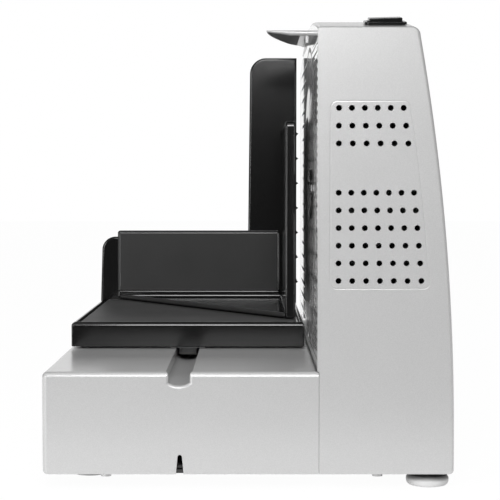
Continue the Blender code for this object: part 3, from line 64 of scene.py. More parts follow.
GUARD_LOW, GUARD_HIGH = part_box("blade_guard")
KNOB_LOW, KNOB_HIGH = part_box("thickness_knob")
DIAL_LOW, DIAL_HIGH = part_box("dial_ring")

HOUSING_LEFT, RIGHT = HOUSING_LOW[0], HOUSING_HIGH[0]
NEAR, FAR = HOUSING_LOW[1], HOUSING_HIGH[1]
BOTTOM, TOP = HOUSING_LOW[2], HOUSING_HIGH[2]
LEFT, BASE_RIGHT, BASE_TOP = BASE_LOW[0], BASE_HIGH[0], BASE_HIGH[2]
BLADE_Y = (BLADE_LOW[1] + BLADE_HIGH[1]) / 2
BLADE_Z = (BLADE_LOW[2] + BLADE_HIGH[2]) / 2
BLADE_RADIUS = (BLADE_HIGH[1] - BLADE_LOW[1]) / 2
BLADE_CENTRE = (BLADE_Y, BLADE_Z)
CUT_PLANE = SIDE_PLATE_LOW[0]
KNOB_X = (KNOB_LOW[0] + KNOB_HIGH[0]) / 2
KNOB_Z = (KNOB_LOW[2] + KNOB_HIGH[2]) / 2
KNOB_CENTRE = (KNOB_X, KNOB_Z)

WALL = 0.0025
GAP = 0.0003
OVERRUN = 0.002

# Casing shape
ARCH_RADIUS = 0.799
CROWN_Y = NEAR + 0.159
SIDE_BOW = 0.02506
SIDE_START = 0.030
SIDE_RISE = TOP - SIDE_START
SIDE_RADIUS = (SIDE_RISE ** 2 + SIDE_BOW ** 2) / (2 * SIDE_BOW)
HOUSING_FILLET = 0.0022
TOP_EDGE_SHARE = 0.3
HOUSING_SHOULDER = 0.005
BASE_FILLET = 0.00325
BOTTOM_FILLET = 0.0025
SEAM_FILLET = 0.00015
LIP_DEPTH = 0.0026

# Blade, its recess and the plates beside it
OPENING_RADIUS = BLADE_RADIUS + 0.003
RECESS_DEPTH = 0.006
RECESS_FILLET = 0.0006
HUB_HOLE_RADIUS = 0.0107
BLADE_EDGE_WIDTH = 0.007
BLADE_RIM_WIDTH = 0.019
BLADE_DISH_STEP = 0.006
BLADE_DISH_FLAT = 0.001
BLADE_TIP = 0.0001
BLADE_DISH = 0.0017
BLADE_THICKNESS = 0.0014
SHAFT_BORE = 0.0053
RIB_WIDTH = 0.0030
RIB_HEIGHT = 0.0003
RIB_TAPER = 1.2 * RIB_WIDTH
RIB_END_SHARE = 0.05
STOP_SETBACK = 0.00105
STOP_RIB_HEIGHT = 0.00028
STOP_RIB_TOP = 0.268
STOP_RIB_SETBACK = 0.008
STOP_RIB_PITCH = 0.010
NEAR_RIB_PITCH = 0.005
PLATE_TOP_MARGIN = 0.002
SHEET_EDGE = 0.0002
STOP_EDGE = 0.0003
STOP_TRAVEL = 0.020
CAP_EDGE = 0.0005
CAP_SOCKET_SHARE, CAP_RIM_SHARE = 0.42, 0.46

# Pocket and slice outlet
POCKET_RIGHT = 0.06495
POCKET_NEAR = -0.00905
STOP_TOP = STOP_HIGH[2]
OUTLET_FAR = NEAR + 0.292
OUTLET_CORNER = 0.008
OUTLET_FILLET = 0.0015
BRIDGE_THICKNESS = 0.012
POST_CAVITY_TOP = 0.220

# Vent field
VENT_RADIUS = 0.00172
VENT_CHAMFER = 0.0002
VENT_PITCH = 0.0104
VENT_FIRST_OFFSET = 0.0112
VENT_EDGE_MARGIN = 0.0168
VENT_TOPS = (0.2258, 0.1761)
VENT_ROWS = (3, 6)
VENT_COLUMNS = (6, 7)
PANEL_LINE_WIDTH = 0.0012
PANEL_LINE_DEPTH = 0.00013
PANEL_INSET = 0.0117
PANEL_LEFT_OFFSET = 0.0057
PANEL_BOTTOM, PANEL_TOP = 0.1189, 0.2305
PANEL_CORNER = 0.0044

# Carriage slot and cord notch
SLOT_WIDTH = 0.0126
SLOT_X = LEFT + 0.0751 + SLOT_WIDTH / 2
SLOT_DEPTH = 0.0063
SLOT_DISH = 0.0019
SLOT_LIP = 0.0021
SLOT_MOUTH = 0.0019
SLOT_FLARE = 0.0015
SLOT_NECK = 0.0031
SLOT_END_WALL = 0.004
NOTCH_X = LEFT + 0.0818
NOTCH_FOOT_WIDTH = 0.0048
NOTCH_TOP_WIDTH = 0.0026
NOTCH_HEIGHT = 0.0116
NOTCH_MOUTH = 0.0004
EDGE_GROOVE_WIDTH = 0.0018
EDGE_GROOVE_DEPTH = 0.004

# Carriage and pusher
TRAY_RIM = 0.0022
TRAY_RIM_WIDTH = 0.0030
TRAY_CORNER = 0.0012
TRAY_EDGE = 0.0028
TRAY_GROOVE = 0.0022
TRAY_FLOOR_DROP = 0.0004
TRAY_FLOOR_EDGE = 0.0008
HIGH_WALL_WIDTH = 0.0379
HIGH_WALL_DRAFT = 0.0016
LOW_WALL_DRAFT = 0.0018
HIGH_WALL_CORNER = 0.013
LOW_WALL_TOP = 0.1387
LOW_WALL_CORNER = 0.011
WALL_EDGE = 0.0018
PLASTIC_EDGE = 0.0009
SHOE_EDGE = 0.0004
PANEL_THICKNESS = 0.0030
PANEL_EDGE = 0.0016
PANEL_ROLL = 0.0026
PANEL_RISE = 0.0008
GUSSET_HEIGHT = 0.0033
GUSSET_RIM = 0.0034
GUSSET_EDGE = 0.0015
GUSSET_SINK = 0.0026
CORNER_ROUND = 0.0022
RIB_RISE = 0.0068
RIB_DEPTH = 0.0028
HOOK_DROP = 0.020
HOOK_GAP_TO_WALL = 0.008
GRIP_DEPTH = 0.014
GRIP_LENGTH = 0.055
GRIP_EDGE = 0.0015
PUSHER_PLATE_CORNER = 0.004
PLATE_EDGE = 0.0014
PLATE_BORDER = 0.0036
SPIKE_LENGTH = 0.0013
SPIKE_EXTRA = 0.0009
SPIKE_PITCH = 0.0172
SPIKE_WIDTH = 0.003
SPIKE_TIP_SHARE = 0.45

# Guard over the blade
GUARD_REACH = 0.0292
GUARD_TAPER = 1.9
GUARD_BEND = 0.0165
GUARD_SLANT = 0.0024
GUARD_WALL = 0.0010
GUARD_ROOM = 0.0235
# Thickness of the dark sheet that paints the shade inside the guard's underside
GUARD_SHADE_SHEET = 0.0006
GUARD_TAB_LENGTH = 0.030
GUARD_TAB_THICKNESS = 0.0018
GUARD_DROP = 0.0004
GUARD_NOSE = 0.0022
GUARD_NOSE_SHARES = (0.1, 0.3, 0.5, 0.75)
GUARD_ROUND_SHARE = 0.45

# Switch
SWITCH_LENGTH = 0.0249
SWITCH_WIDTH = 0.0175
SWITCH_Y = NEAR + 0.0173
SWITCH_X = HOUSING_LEFT + 0.0395
BEZEL_HEIGHT = 0.002
BEZEL_RIM = 0.0017
BEZEL_EDGE = 0.0004
WINDOW_HALF_LENGTH = SWITCH_LENGTH / 2 - BEZEL_RIM
WINDOW_HALF_WIDTH = SWITCH_WIDTH / 2 - BEZEL_RIM
ROCKER_PROUD = 0.0024
ROCKER_LOW_SIDE = 0.0019
ROCKER_FALL = 0.0003
ROCKER_KEEL = 0.0068
ROCKER_GAP = 0.0006
ROCKER_EDGE = 0.0005

# Knob, dial and gland
KNOB_RADIUS = (KNOB_HIGH[0] - KNOB_LOW[0]) / 2
KNOB_FLUTES = 24
KNOB_FLUTE_DEPTH = 0.0008
KNOB_BORE, KNOB_BORE_DEPTH = 0.0043, 0.012
KNOB_SINK = 0.0008
KNOB_SINK_SHARES = (0.62, 0.58)
POINTER_HALF_WIDTH = 0.0008
POINTER_DEPTH = 0.0007
POINTER_SHARES = (0.66, 0.93)
DIAL_RADIUS = (DIAL_HIGH[0] - DIAL_LOW[0]) / 2
DIAL_BORE = 0.0046
KNOB_RANGE = radians(300)
DIAL_STEPS = 20
DIAL_NUMBER_HEIGHT = 0.0036
DIAL_NUMBER_INSET = 0.0047
DIAL_STROKE_OUTER = 0.0008
DIAL_LONG_STROKE = (0.0026, 0.00022)
DIAL_SHORT_STROKE = (0.0018, 0.00014)
DIAL_STROKE_LIFT = 0.00008
GLAND_BORE = 0.0033
GLAND_LIP = 0.0006

# Foot
# Heights where the foot's colour turns from its pale cup to the dark of painted shade under the base
FOOT_PALE_BELOW = 0.0032
FOOT_SHADE_ABOVE = 0.0064
FOOT_CUP = ((0, 0.25), (0.55, 0.20), (0.64, 0.05), (0.68, 0))
FOOT_LIP_WIDTH, FOOT_LIP_HEIGHT = 0.15, 0.34
FOOT_NECK = ((1, 0.42), (0.985, 0.50), (0.74, 0.97))
FOOT_NECK_SHARE = 0.72
FOOT_STEM = 0.003
FOOT_GAP = 0.0001

# Looks
SHEET_TONE = 0.84
PLASTIC_TONES = (0.85, 1.2)
PLASTIC_WEAR = (-0.01, 0.02)
PLASTIC_GRAIN = 0.0000008

# Camera, lamps and stage
CAMERA_DISTANCE = 0.8
CAMERA_X = 0.00115
CAMERA_HEIGHT = 0.18
CAMERA_PITCH = radians(2.69)
CAMERA_LENS = 97.92
CAMERA_SENSOR = 36
CAMERA_CLIP = (0.05, 50)
# Each lamp's name, place, target, size and power
LAMPS = (
    ("front_softbox", (-0.03, -1.06, 0.70), (0.04, 0, 0.13), (0.38, 0.54), 5.9),
    ("upper_strip", (-0.05, -0.55, 1.05), (0, 0, 0.15), (1.0, 0.22), 1.0),
    ("left_softbox", (-0.85, -0.95, 0.30), (0, -0.10, 0.16), (0.30, 0.60), 4.2),
)
STAGE_SIZE = 12.0
STAGE_NEAR = NEAR - 0.18
FLOOR_COLOUR = (0.88, 0.88, 0.88)
FLOOR_WHITE_SHARE = 0.95
FLOOR_GLOW = 1.02
ROOM_LIGHT = 0.40
BACKDROP_DIRECTION = (0, 1, 0)
BACKDROP_SPREAD = {"From_Min": 0.88, "From_Max": 0.95, "To_Min": 0.05, "To_Max": 1.0}


def put(name, data, location=(0, 0, 0), rotation=(0, 0, 0)):
    """A new object in the scene."""
    thing = bpy.data.objects.new(name, data)
    thing.location, thing.rotation_euler = location, rotation
    bpy.context.scene.collection.objects.link(thing)
    return thing


def add_object(name, points, faces, transform=None):
    """A mesh object from points and faces, with its faces pointing out."""
    mesh = bpy.data.meshes.new(name)
    mesh.from_pydata([tuple(point) for point in points], [], faces)
    if transform is not None:
        mesh.transform(transform)
    form = bmesh.new()
    form.from_mesh(mesh)
    bmesh.ops.recalc_face_normals(form, faces=form.faces)
    form.to_mesh(mesh)
    form.free()
    return put(name, mesh)


def layer(axis, outline, along):
    """A flat outline as points in space, across an axis at a place along it."""
    if axis == "X":
        return [(along, a, b) for a, b in outline]
    if axis == "Y":
        return [(a, along, b) for a, b in outline]
    return [(a, b, along) for a, b in outline]


def skins(name, groups, ends="capped", transform=None):
    """One mesh of skins. A group holds the rings of one skin, and a ring may be a single point.

    Its first and last ring are capped, left open or joined to each other.
    """
    points, faces = [], []
    for rings in groups:
        numbers = []
        for ring in rings:
            numbers.append(list(range(len(points), len(points) + len(ring))))
            points += ring
        if ends == "capped":
            faces += [ring for ring in (numbers[0], numbers[-1][::-1]) if len(ring) > 1]
        elif ends == "joined":
            numbers.append(numbers[0])
        for one, two in zip(numbers, numbers[1:]):
            for i in range(max(len(one), len(two))):
                corners = ((one, i), (one, i + 1), (two, i + 1), (two, i))
                faces.append(list(dict.fromkeys(ring[j % len(ring)] for ring, j in corners)))
    return add_object(name, points, faces, transform)


def skin(name, rings, transform=None):
    return skins(name, [rings], transform=transform)


def prism(name, outline, axis, low, high, transform=None):
    return skin(name, [layer(axis, outline, low), layer(axis, outline, high)], transform)


def block(name, low, high, transform=None):
    outline = [(low[0], low[1]), (high[0], low[1]), (high[0], high[1]), (low[0], high[1])]
    return prism(name, outline, "Z", low[2], high[2], transform)


def spread(start, end, steps):
    """Evenly spread values from start to end, both among them."""
    return [start + (end - start) * k / steps for k in range(steps + 1)]


def turned(name, profile, axis, centre, segments=96, ripple=lambda angle: 1):
    """A profile of (radius, place along the axis) turned about an axis through centre."""
    rings = []
    for radius, along in profile:
        ring = []
        for turn in spread(0, tau, segments)[:-1] if radius else [0]:
            reach = radius * ripple(turn)
            ring.append((centre[0] + reach * cos(turn), centre[1] + reach * sin(turn)))
        rings.append(layer(axis, ring, along))
    return skins(name, [rings], "joined" if profile[0][0] and profile[-1][0] else "open")


def rod(name, radius, low, high, axis, centre, segments):
    return turned(name, [(0, low), (radius, low), (radius, high), (0, high)], axis, centre, segments)


def arc(centre, radius, start, end, steps):
    return [(centre[0] + radius * cos(turn), centre[1] + radius * sin(turn))
            for turn in spread(start, end, steps)]


def circle(centre, radius, steps):
    return arc(centre, radius, 0, tau, steps)[:-1]


def cornered(spots, radii, steps=(8,) * 4, right=(), top=()):
    """An outline round four corners, from the low left one anticlockwise.

    radii and steps are those of its roundings, and right and top are more points on those sides.
    """
    outline = []
    signs = ((1, 1), (-1, 1), (-1, -1), (1, -1))
    for k, ((a, b), r, (to_a, to_b), more) in enumerate(zip(spots, radii, signs, ((), right, top, ()))):
        outline += arc((a + to_a * r, b + to_b * r), r, pi + k * pi / 2, 1.5 * pi + k * pi / 2, steps[k])
        outline += more
    return outline


def rounded_outline(low, high, radii):
    return cornered((low, (high[0], low[1]), high, (low[0], high[1])), radii)


def rounded_rings(low, high, radii, axis, places):
    """Rings of a rounded rectangle across an axis, one for each (place along it, inset)."""
    return [layer(axis, rounded_outline([a + inset for a in low], [a - inset for a in high],
                                        [max(radius - inset, GAP / 10) for radius in radii]), along)
            for along, inset in places]


def outset(outline, distance):
    """An outline moved outward by a distance at each of its points."""
    area = sum(a[0] * b[1] - b[0] * a[1] for a, b in zip(outline, outline[1:] + outline[:1]))
    turn = 1 if area > 0 else -1
    moved = []
    for before, here, after in zip(outline[-1:] + outline[:-1], outline, outline[1:] + outline[:1]):
        normal = [0.0, 0.0]
        for start, end in ((before, here), (here, after)):
            run, rise = end[0] - start[0], end[1] - start[1]
            length = sqrt(run * run + rise * rise)
            if length:
                normal[0] += turn * rise / length
                normal[1] -= turn * run / length
        size = sqrt(normal[0] ** 2 + normal[1] ** 2)
        reach = distance * 2 / max(size * size, 1)
        moved.append((here[0] + normal[0] * reach, here[1] + normal[1] * reach))
    return moved


def fillet_steps(radius, steps):
    """(depth below a face, outset from a cut's wall) down a rounded mouth."""
    return [(radius * (1 - cos(turn)), radius * (1 - sin(turn))) for turn in spread(0, pi / 2, steps)]


def outset_rings(outline, axis, places):
    """Rings of an outline across an axis, one for each (place along it, outset)."""
    return [layer(axis, outset(outline, wider), along) for along, wider in places]


def rolled(name, outline, axis, low, high, roll):
    """A slab across an axis with both of its rims rounded."""
    rim = fillet_steps(roll, 6)
    places = [(low + depth, -inset) for depth, inset in rim]
    places += [(high - depth, -inset) for depth, inset in reversed(rim)]
    return skin(name, outset_rings(outline, axis, places))


def mouth_rings(outline, mouth, steps):
    """The first rings of a cut that comes in through the near face with a rounded mouth."""
    places = [(NEAR + depth, wider) for depth, wider in [(-OVERRUN, mouth)] + fillet_steps(mouth, steps)]
    return outset_rings(outline, "Y", places)


def settle(piece, tools=()):
    """Applies the modifiers of a piece to its mesh and removes the tools."""
    view = bpy.context.evaluated_depsgraph_get()
    view.update()
    mesh = bpy.data.meshes.new_from_object(piece.evaluated_get(view))
    piece.modifiers.clear()
    piece.data = mesh
    for tool in tools:
        bpy.data.objects.remove(tool, do_unlink=True)
    return piece


def combine(piece, operation, tools):
    for tool in tools:
        step = piece.modifiers.new(tool.name, "BOOLEAN")
        step.operation = operation
        step.object = tool
        step.solver = "EXACT"
    return settle(piece, tools)


def carve(piece, *tools):
    return combine(piece, "DIFFERENCE", tools)


def fuse(piece, *tools):
    return combine(piece, "UNION", tools)


def soften(piece, width, steps=3, angle=radians(35)):
    """Rounds the sharp edges of a piece and evens its shading."""
    edges = piece.modifiers.new("edges", "BEVEL")
    edges.width = width
    edges.segments = steps
    edges.limit_method = "ANGLE"
    edges.angle_limit = angle
    edges.use_clamp_overlap = True
    edges.harden_normals = False
    return smooth(settle(piece))


def smooth(piece, angle=radians(40)):
    piece.data.shade_smooth()
    piece.data.set_sharp_from_angle(angle=angle)
    weighted = piece.modifiers.new("shading", "WEIGHTED_NORMAL")
    weighted.keep_sharp = True
    weighted.weight = 50
    return piece


def top_height(y):
    return TOP - ARCH_RADIUS + sqrt(ARCH_RADIUS ** 2 - (y - CROWN_Y) ** 2)


def side_reach(z):
    rise = max(z - SIDE_START, 0)
    return RIGHT - SIDE_RADIUS + sqrt(SIDE_RADIUS ** 2 - rise ** 2)


def casing_section(y, left, bottom, top, inset, corners, seam_inset=None, reach=side_reach, side_steps=32,
                   top_share=1.0):
    """A section across a casing, drawn in by inset. corners are the radii from the bottom left on."""
    left += inset if seam_inset is None else seam_inset
    low, high = bottom + min(inset, SEAM_FILLET), top - inset * top_share
    radii = [max(radius - inset, GAP) for radius in corners]
    first, last = low + radii[1], high - radii[2]
    right = [(reach(z) - inset, z) for z in spread(first, last, side_steps)[1:-1]]
    spots = ((left, low), (reach(low) - inset, low), (reach(last) - inset, high), (left, high))
    return layer("Y", cornered(spots, radii, (6, 6, 10, 6), right), y)


def casing(name, section, fillet, top, arch_steps):
    """A closed casing from the near face to the far face, with rounded end edges."""
    ends = fillet_steps(fillet, 6)
    places = [(NEAR + depth, inset) for depth, inset in ends]
    places += [(y, 0) for y in spread(NEAR + fillet, FAR - fillet, arch_steps)[1:-1]]
    places += [(FAR - depth, inset) for depth, inset in reversed(ends)]
    return skin(name, [section(y, inset, top(y)) for y, inset in places])


def cavity(name, near, far, bottom, top, left, steps):
    """A room in the motor housing that follows the bowed side from inside."""
    corners = (WALL, WALL, HOUSING_SHOULDER, WALL)

    def inside(z):
        return side_reach(z) - WALL

    return skin(name, [casing_section(y, left, bottom, top(y), 0, corners, reach=inside)
                       for y in spread(near, far, steps)])


def vent_cutter():
    """All vent holes, each with a small chamfer at its mouth."""
    profile = [(-OVERRUN, VENT_CHAMFER), (0, VENT_CHAMFER), (VENT_CHAMFER, 0), (WALL + OVERRUN, 0)]
    holes = []
    for top, rows, columns in zip(VENT_TOPS, VENT_ROWS, VENT_COLUMNS):
        for row in range(rows):
            z = top - row * VENT_PITCH
            last = side_reach(z) - VENT_EDGE_MARGIN
            for x in spread(HOUSING_LEFT + VENT_FIRST_OFFSET, last, columns - 1):
                holes.append([layer("Y", circle((x, z), VENT_RADIUS + wider, 24), NEAR + depth)
                              for depth, wider in profile])
    return skins("vent_cutter", holes)


def panel_line_cutter():
    """A shallow rounded line round the vent field."""
    left = HOUSING_LEFT + PANEL_LEFT_OFFSET
    upright = spread(PANEL_BOTTOM + PANEL_CORNER, PANEL_TOP - PANEL_CORNER, 8)[1:-1]
    low_right, high_right, *right = [(side_reach(z) - PANEL_INSET, z)
                                     for z in (PANEL_BOTTOM, PANEL_TOP, *upright)]
    outline = cornered(((left, PANEL_BOTTOM), low_right, high_right, (left, PANEL_TOP)),
                       (PANEL_CORNER,) * 4, (6,) * 4, right)
    half, sag = PANEL_LINE_WIDTH / 2, PANEL_LINE_DEPTH
    radius = (half ** 2 + sag ** 2) / (2 * sag)
    reach = asin(half / radius)
    profile = [(half, -OVERRUN)] + arc((0, sag - radius), radius, pi / 2 - reach, pi / 2 + reach, 8)
    places = [(NEAR + depth, wider - half) for wider, depth in profile + [(-half, -OVERRUN)]]
    return skins("panel_line", [outset_rings(outline, "Y", places)], "joined")


def outlet_cutter():
    """The slice outlet, with a rounded mouth on the bowed side."""
    near, far = POCKET_NEAR + OUTLET_CORNER, OUTLET_FAR - OUTLET_CORNER
    far_top, *top, near_top = [(y, top_height(y) - BRIDGE_THICKNESS) for y in spread(far, near, 16)]
    outline = cornered(((POCKET_NEAR, BASE_TOP), (OUTLET_FAR, BASE_TOP), (OUTLET_FAR, far_top[1]),
                        (POCKET_NEAR, near_top[1])), (OUTLET_CORNER,) * 4, top=top)
    rings = [layer("X", outset(outline, OUTLET_FILLET), RIGHT + OVERRUN)]
    for depth, wider in fillet_steps(OUTLET_FILLET, 5):
        rings.append([(side_reach(z) - depth, y, z) for y, z in outset(outline, wider)])
    return skin("slice_outlet", rings + [layer("X", outline, POCKET_RIGHT - OVERRUN)])


def switch_frame():
    slope = asin((CROWN_Y - SWITCH_Y) / ARCH_RADIUS)
    return Matrix.Translation((SWITCH_X, SWITCH_Y, top_height(SWITCH_Y))) @ Matrix.Rotation(slope, 4, "X")


def motor_housing():
    corners = (SEAM_FILLET, BOTTOM_FILLET, HOUSING_SHOULDER, HOUSING_FILLET)

    def section(y, inset, top):
        return casing_section(y, CUT_PLANE, BOTTOM, top, inset, corners, min(inset, SEAM_FILLET),
                              top_share=TOP_EDGE_SHARE)

    housing = casing("housing_shell", section, HOUSING_FILLET, top_height, 48)
    below = BOTTOM - OVERRUN
    beside_plate = block("beside_plate", (CUT_PLANE - OVERRUN, NEAR + LIP_DEPTH, below),
                         (HOUSING_LEFT, FAR + OVERRUN, TOP + OVERRUN))
    beside_base = block("beside_base", (CUT_PLANE - OVERRUN, NEAR - OVERRUN, below),
                        (HOUSING_LEFT, NEAR + LIP_DEPTH + OVERRUN, BASE_TOP + GAP))
    carve(housing, beside_plate, beside_base)

    inner_left = HOUSING_LEFT + RECESS_DEPTH + WALL
    motor_far = POCKET_NEAR - WALL
    plinth_top = BASE_TOP - WALL
    motor_room = cavity("motor_room", NEAR + WALL, motor_far, below, lambda y: top_height(y) - WALL,
                        inner_left, 12)
    plinth_room = cavity("plinth_room", motor_far - OVERRUN, FAR - WALL, below, lambda y: plinth_top,
                         inner_left, 1)
    post_room = cavity("post_room", OUTLET_FAR + WALL, FAR - WALL, plinth_top - OVERRUN,
                       lambda y: POST_CAVITY_TOP, POCKET_RIGHT + WALL, 1)
    rim = [(-OVERRUN, RECESS_FILLET)] + fillet_steps(RECESS_FILLET, 4) + [(RECESS_DEPTH, 0)]
    profile = [(0, HOUSING_LEFT - OVERRUN)]
    profile += [(OPENING_RADIUS + wider, HOUSING_LEFT + depth) for depth, wider in rim]
    profile.append((0, HOUSING_LEFT + RECESS_DEPTH))
    recess = turned("recess", profile, "X", BLADE_CENTRE, 192)
    hub_hole = rod("hub_hole", HUB_HOLE_RADIUS, HOUSING_LEFT, inner_left + OVERRUN, "X", BLADE_CENTRE, 48)
    pocket = block("pocket", (HOUSING_LEFT - OVERRUN, POCKET_NEAR, BASE_TOP),
                   (POCKET_RIGHT, FAR + OVERRUN, STOP_TOP + WALL - GAP))
    carve(housing, motor_room, plinth_room, post_room, recess, hub_hole, pocket, outlet_cutter())

    carrier_low, carrier_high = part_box("stop_plate_carrier")
    slot = block("carrier_slot", (carrier_low[0], carrier_low[1] - OVERRUN, plinth_top - OVERRUN),
                 (carrier_high[0] + STOP_TRAVEL + OVERRUN, carrier_high[1], BASE_TOP + OVERRUN))
    knob_hole = rod("knob_hole", DIAL_BORE, FAR - WALL - OVERRUN, FAR + OVERRUN, "Y", KNOB_CENTRE, 32)
    half_length, half_width = WINDOW_HALF_LENGTH + GAP, WINDOW_HALF_WIDTH + GAP
    switch_hole = block("switch_hole", (-half_length, -half_width, -WALL - OVERRUN),
                        (half_length, half_width, OVERRUN), switch_frame())
    carve(housing, slot, knob_hole, switch_hole, vent_cutter(), panel_line_cutter())
    return smooth(housing)


def slot_cutter():
    """The carriage slot, with a rounded neck where it runs out through the near face."""
    def section(half, lip):
        over = BASE_TOP + OVERRUN
        side_floor = BASE_TOP - SLOT_DEPTH
        dish_radius = (half ** 2 + SLOT_DISH ** 2) / (2 * SLOT_DISH)
        reach = asin(half / dish_radius)
        outline = [(SLOT_X - half - lip, over)]
        outline += arc((SLOT_X - half - lip, BASE_TOP - lip), lip, pi / 2, 0, 6)
        outline += arc((SLOT_X, side_floor - SLOT_DISH + dish_radius), dish_radius,
                       1.5 * pi - reach, 1.5 * pi + reach, 16)
        outline += arc((SLOT_X + half + lip, BASE_TOP - lip), lip, pi, pi / 2, 6)
        outline.append((SLOT_X + half + lip, over))
        return outline

    neck = section(SLOT_WIDTH / 2, SLOT_LIP)
    channel = section(SLOT_WIDTH / 2 + SLOT_FLARE, GAP)
    rest = ((neck, NEAR + SLOT_NECK), (channel, NEAR + SLOT_NECK + GAP), (channel, FAR - SLOT_END_WALL))
    return skin("slot", mouth_rings(neck, SLOT_MOUTH, 6) + [layer("Y", ring, y) for ring, y in rest])


def notch_cutter():
    """The tapered cord notch at the base's lower edge."""
    half_foot, half_top = NOTCH_FOOT_WIDTH / 2, NOTCH_TOP_WIDTH / 2
    top = BOTTOM + NOTCH_HEIGHT
    outline = [(NOTCH_X - half_foot, BOTTOM - OVERRUN), (NOTCH_X + half_foot, BOTTOM - OVERRUN)]
    outline += arc((NOTCH_X, top - half_top), half_top, 0, pi, 10)
    inner = layer("Y", outline, NEAR + WALL + OVERRUN)
    return skin("notch", mouth_rings(outline, NOTCH_MOUTH, 3) + [inner])


def base_housing():
    corners = (BOTTOM_FILLET, SEAM_FILLET, SEAM_FILLET, BASE_FILLET)

    def section(y, inset, top):
        seam = HOUSING_LEFT - GAP / 10 + max(inset - SEAM_FILLET, 0)
        return casing_section(y, LEFT, BOTTOM, top, inset, corners, reach=lambda z: seam, side_steps=1)

    base = casing("base_shell", section, BASE_FILLET, lambda y: BASE_TOP, 1)
    below = BOTTOM - OVERRUN
    ceiling = BASE_TOP - EDGE_GROOVE_DEPTH - WALL
    floor = BASE_TOP - SLOT_DEPTH - SLOT_DISH - WALL
    side = SLOT_WIDTH / 2 + SLOT_FLARE + WALL
    left, right, near, far = LEFT + WALL, BASE_RIGHT - WALL, NEAR + WALL, FAR - WALL
    carve(base, block("room_low", (left, near, below), (right, far, floor)),
          block("room_left", (left, near, floor - OVERRUN), (SLOT_X - side, far, ceiling)),
          block("room_right", (SLOT_X + side, near, floor - OVERRUN), (right, far, ceiling)))
    groove_left = BASE_RIGHT - EDGE_GROOVE_WIDTH
    groove = block("groove", (groove_left, NEAR + BASE_FILLET, BASE_TOP - EDGE_GROOVE_DEPTH),
                   (BASE_RIGHT + OVERRUN, FAR - BASE_FILLET, BASE_TOP + OVERRUN))
    carve(base, slot_cutter(), groove, notch_cutter())
    return smooth(base)


def ribs(name, spans, plane, height=RIB_HEIGHT):
    """Half-round ribs along Y that stand out of a plate towards -X. A span is (start, end, height)."""
    groups = []
    for start, end, z in spans:
        swell = [(reach, 1 - short) for reach, short in fillet_steps(1, 6)]
        taper = min(RIB_TAPER, (end - start) / 3)
        places = [(start + taper * reach, share) for reach, share in swell]
        places += [(end - taper * reach, share) for reach, share in reversed(swell)]
        groups.append([[(plane - height * share * sin(pi * i / 8), y,
                         z + RIB_WIDTH / 2 * max(share, RIB_END_SHARE) * cos(pi * i / 8)) for i in range(9)]
                       for y, share in places])
    return smooth(skins(name, groups, "open"))


def disc_reach(z, margin):
    """Half-width along Y of the blade's opening at a height, with a margin."""
    radius = OPENING_RADIUS + margin
    rise = z - BLADE_Z
    return sqrt(radius ** 2 - rise ** 2) if abs(rise) < radius else None


def side_plate():
    near, far = NEAR + LIP_DEPTH, SIDE_PLATE_HIGH[1]
    low = SIDE_PLATE_LOW[2]
    reach = acos((far - BLADE_Y) / OPENING_RADIUS)
    outline = [(far, low)]
    outline += arc(BLADE_CENTRE, OPENING_RADIUS, -reach, reach - tau, 96)
    outline += [(y, top_height(y) - PLATE_TOP_MARGIN) for y in spread(far, near, 24)]
    outline.append((near, low))
    plate = prism("side_plate", outline, "X", SIDE_PLATE_LOW[0], SIDE_PLATE_HIGH[0])
    spans = []
    z = low + NEAR_RIB_PITCH
    while z < top_height(near) - PLATE_TOP_MARGIN - NEAR_RIB_PITCH / 2:
        away = disc_reach(z, RIB_WIDTH / 2)
        end = far - RIB_WIDTH if away is None else BLADE_Y - away
        start = near + RIB_WIDTH / 2
        if end - start > RIB_WIDTH:
            spans.append((start, end, z))
        z += NEAR_RIB_PITCH
    return soften(plate, SHEET_EDGE, 2), ribs("side_plate_ribs", spans, SIDE_PLATE_LOW[0])


def stop_plate():
    near, far = STOP_LOW[1], STOP_HIGH[1]
    low = STOP_LOW[2]
    reach = acos((near - BLADE_Y) / OPENING_RADIUS)
    outline = [(far, low)]
    outline += [(y, min(top_height(y) - PLATE_TOP_MARGIN, STOP_TOP)) for y in spread(far, near, 24)]
    outline += arc(BLADE_CENTRE, OPENING_RADIUS, reach, -reach, 64)
    outline.append((near, low))
    face = STOP_LOW[0] + STOP_SETBACK
    plate = prism("stop_face", outline, "X", face, STOP_HIGH[0])
    spans = []
    z = low + STOP_RIB_PITCH / 2
    while z < STOP_RIB_TOP:
        away = disc_reach(z, RIB_WIDTH)
        start = near + RIB_WIDTH if away is None else max(BLADE_Y + away, near + RIB_WIDTH)
        spans.append((start, far - STOP_RIB_SETBACK, z))
        z += STOP_RIB_PITCH
    return soften(plate, STOP_EDGE, 2), ribs("stop_ribs", spans, face, height=STOP_RIB_HEIGHT)


def blade():
    face, back = BLADE_LOW[0], BLADE_LOW[0] + BLADE_THICKNESS
    rim = BLADE_RADIUS - BLADE_RIM_WIDTH
    dish = rim - BLADE_DISH_STEP
    profile = [(SHAFT_BORE, face + BLADE_DISH), (dish - BLADE_DISH_FLAT, face + BLADE_DISH),
               (dish, face + BLADE_DISH)]
    for k in range(1, 8):
        share = k / 8
        ease = (1 - cos(pi * share)) / 2
        profile.append((dish + (rim - dish) * share, face + BLADE_DISH * (1 - ease)))
    profile += [(rim, face), (BLADE_RADIUS - BLADE_TIP, face), (BLADE_RADIUS, face + BLADE_TIP / 2),
                (BLADE_RADIUS - BLADE_EDGE_WIDTH, back), (rim, back), (dish, back + BLADE_DISH),
                (SHAFT_BORE, back + BLADE_DISH)]
    return smooth(turned("blade_disc", profile, "X", BLADE_CENTRE, 256), radians(25))


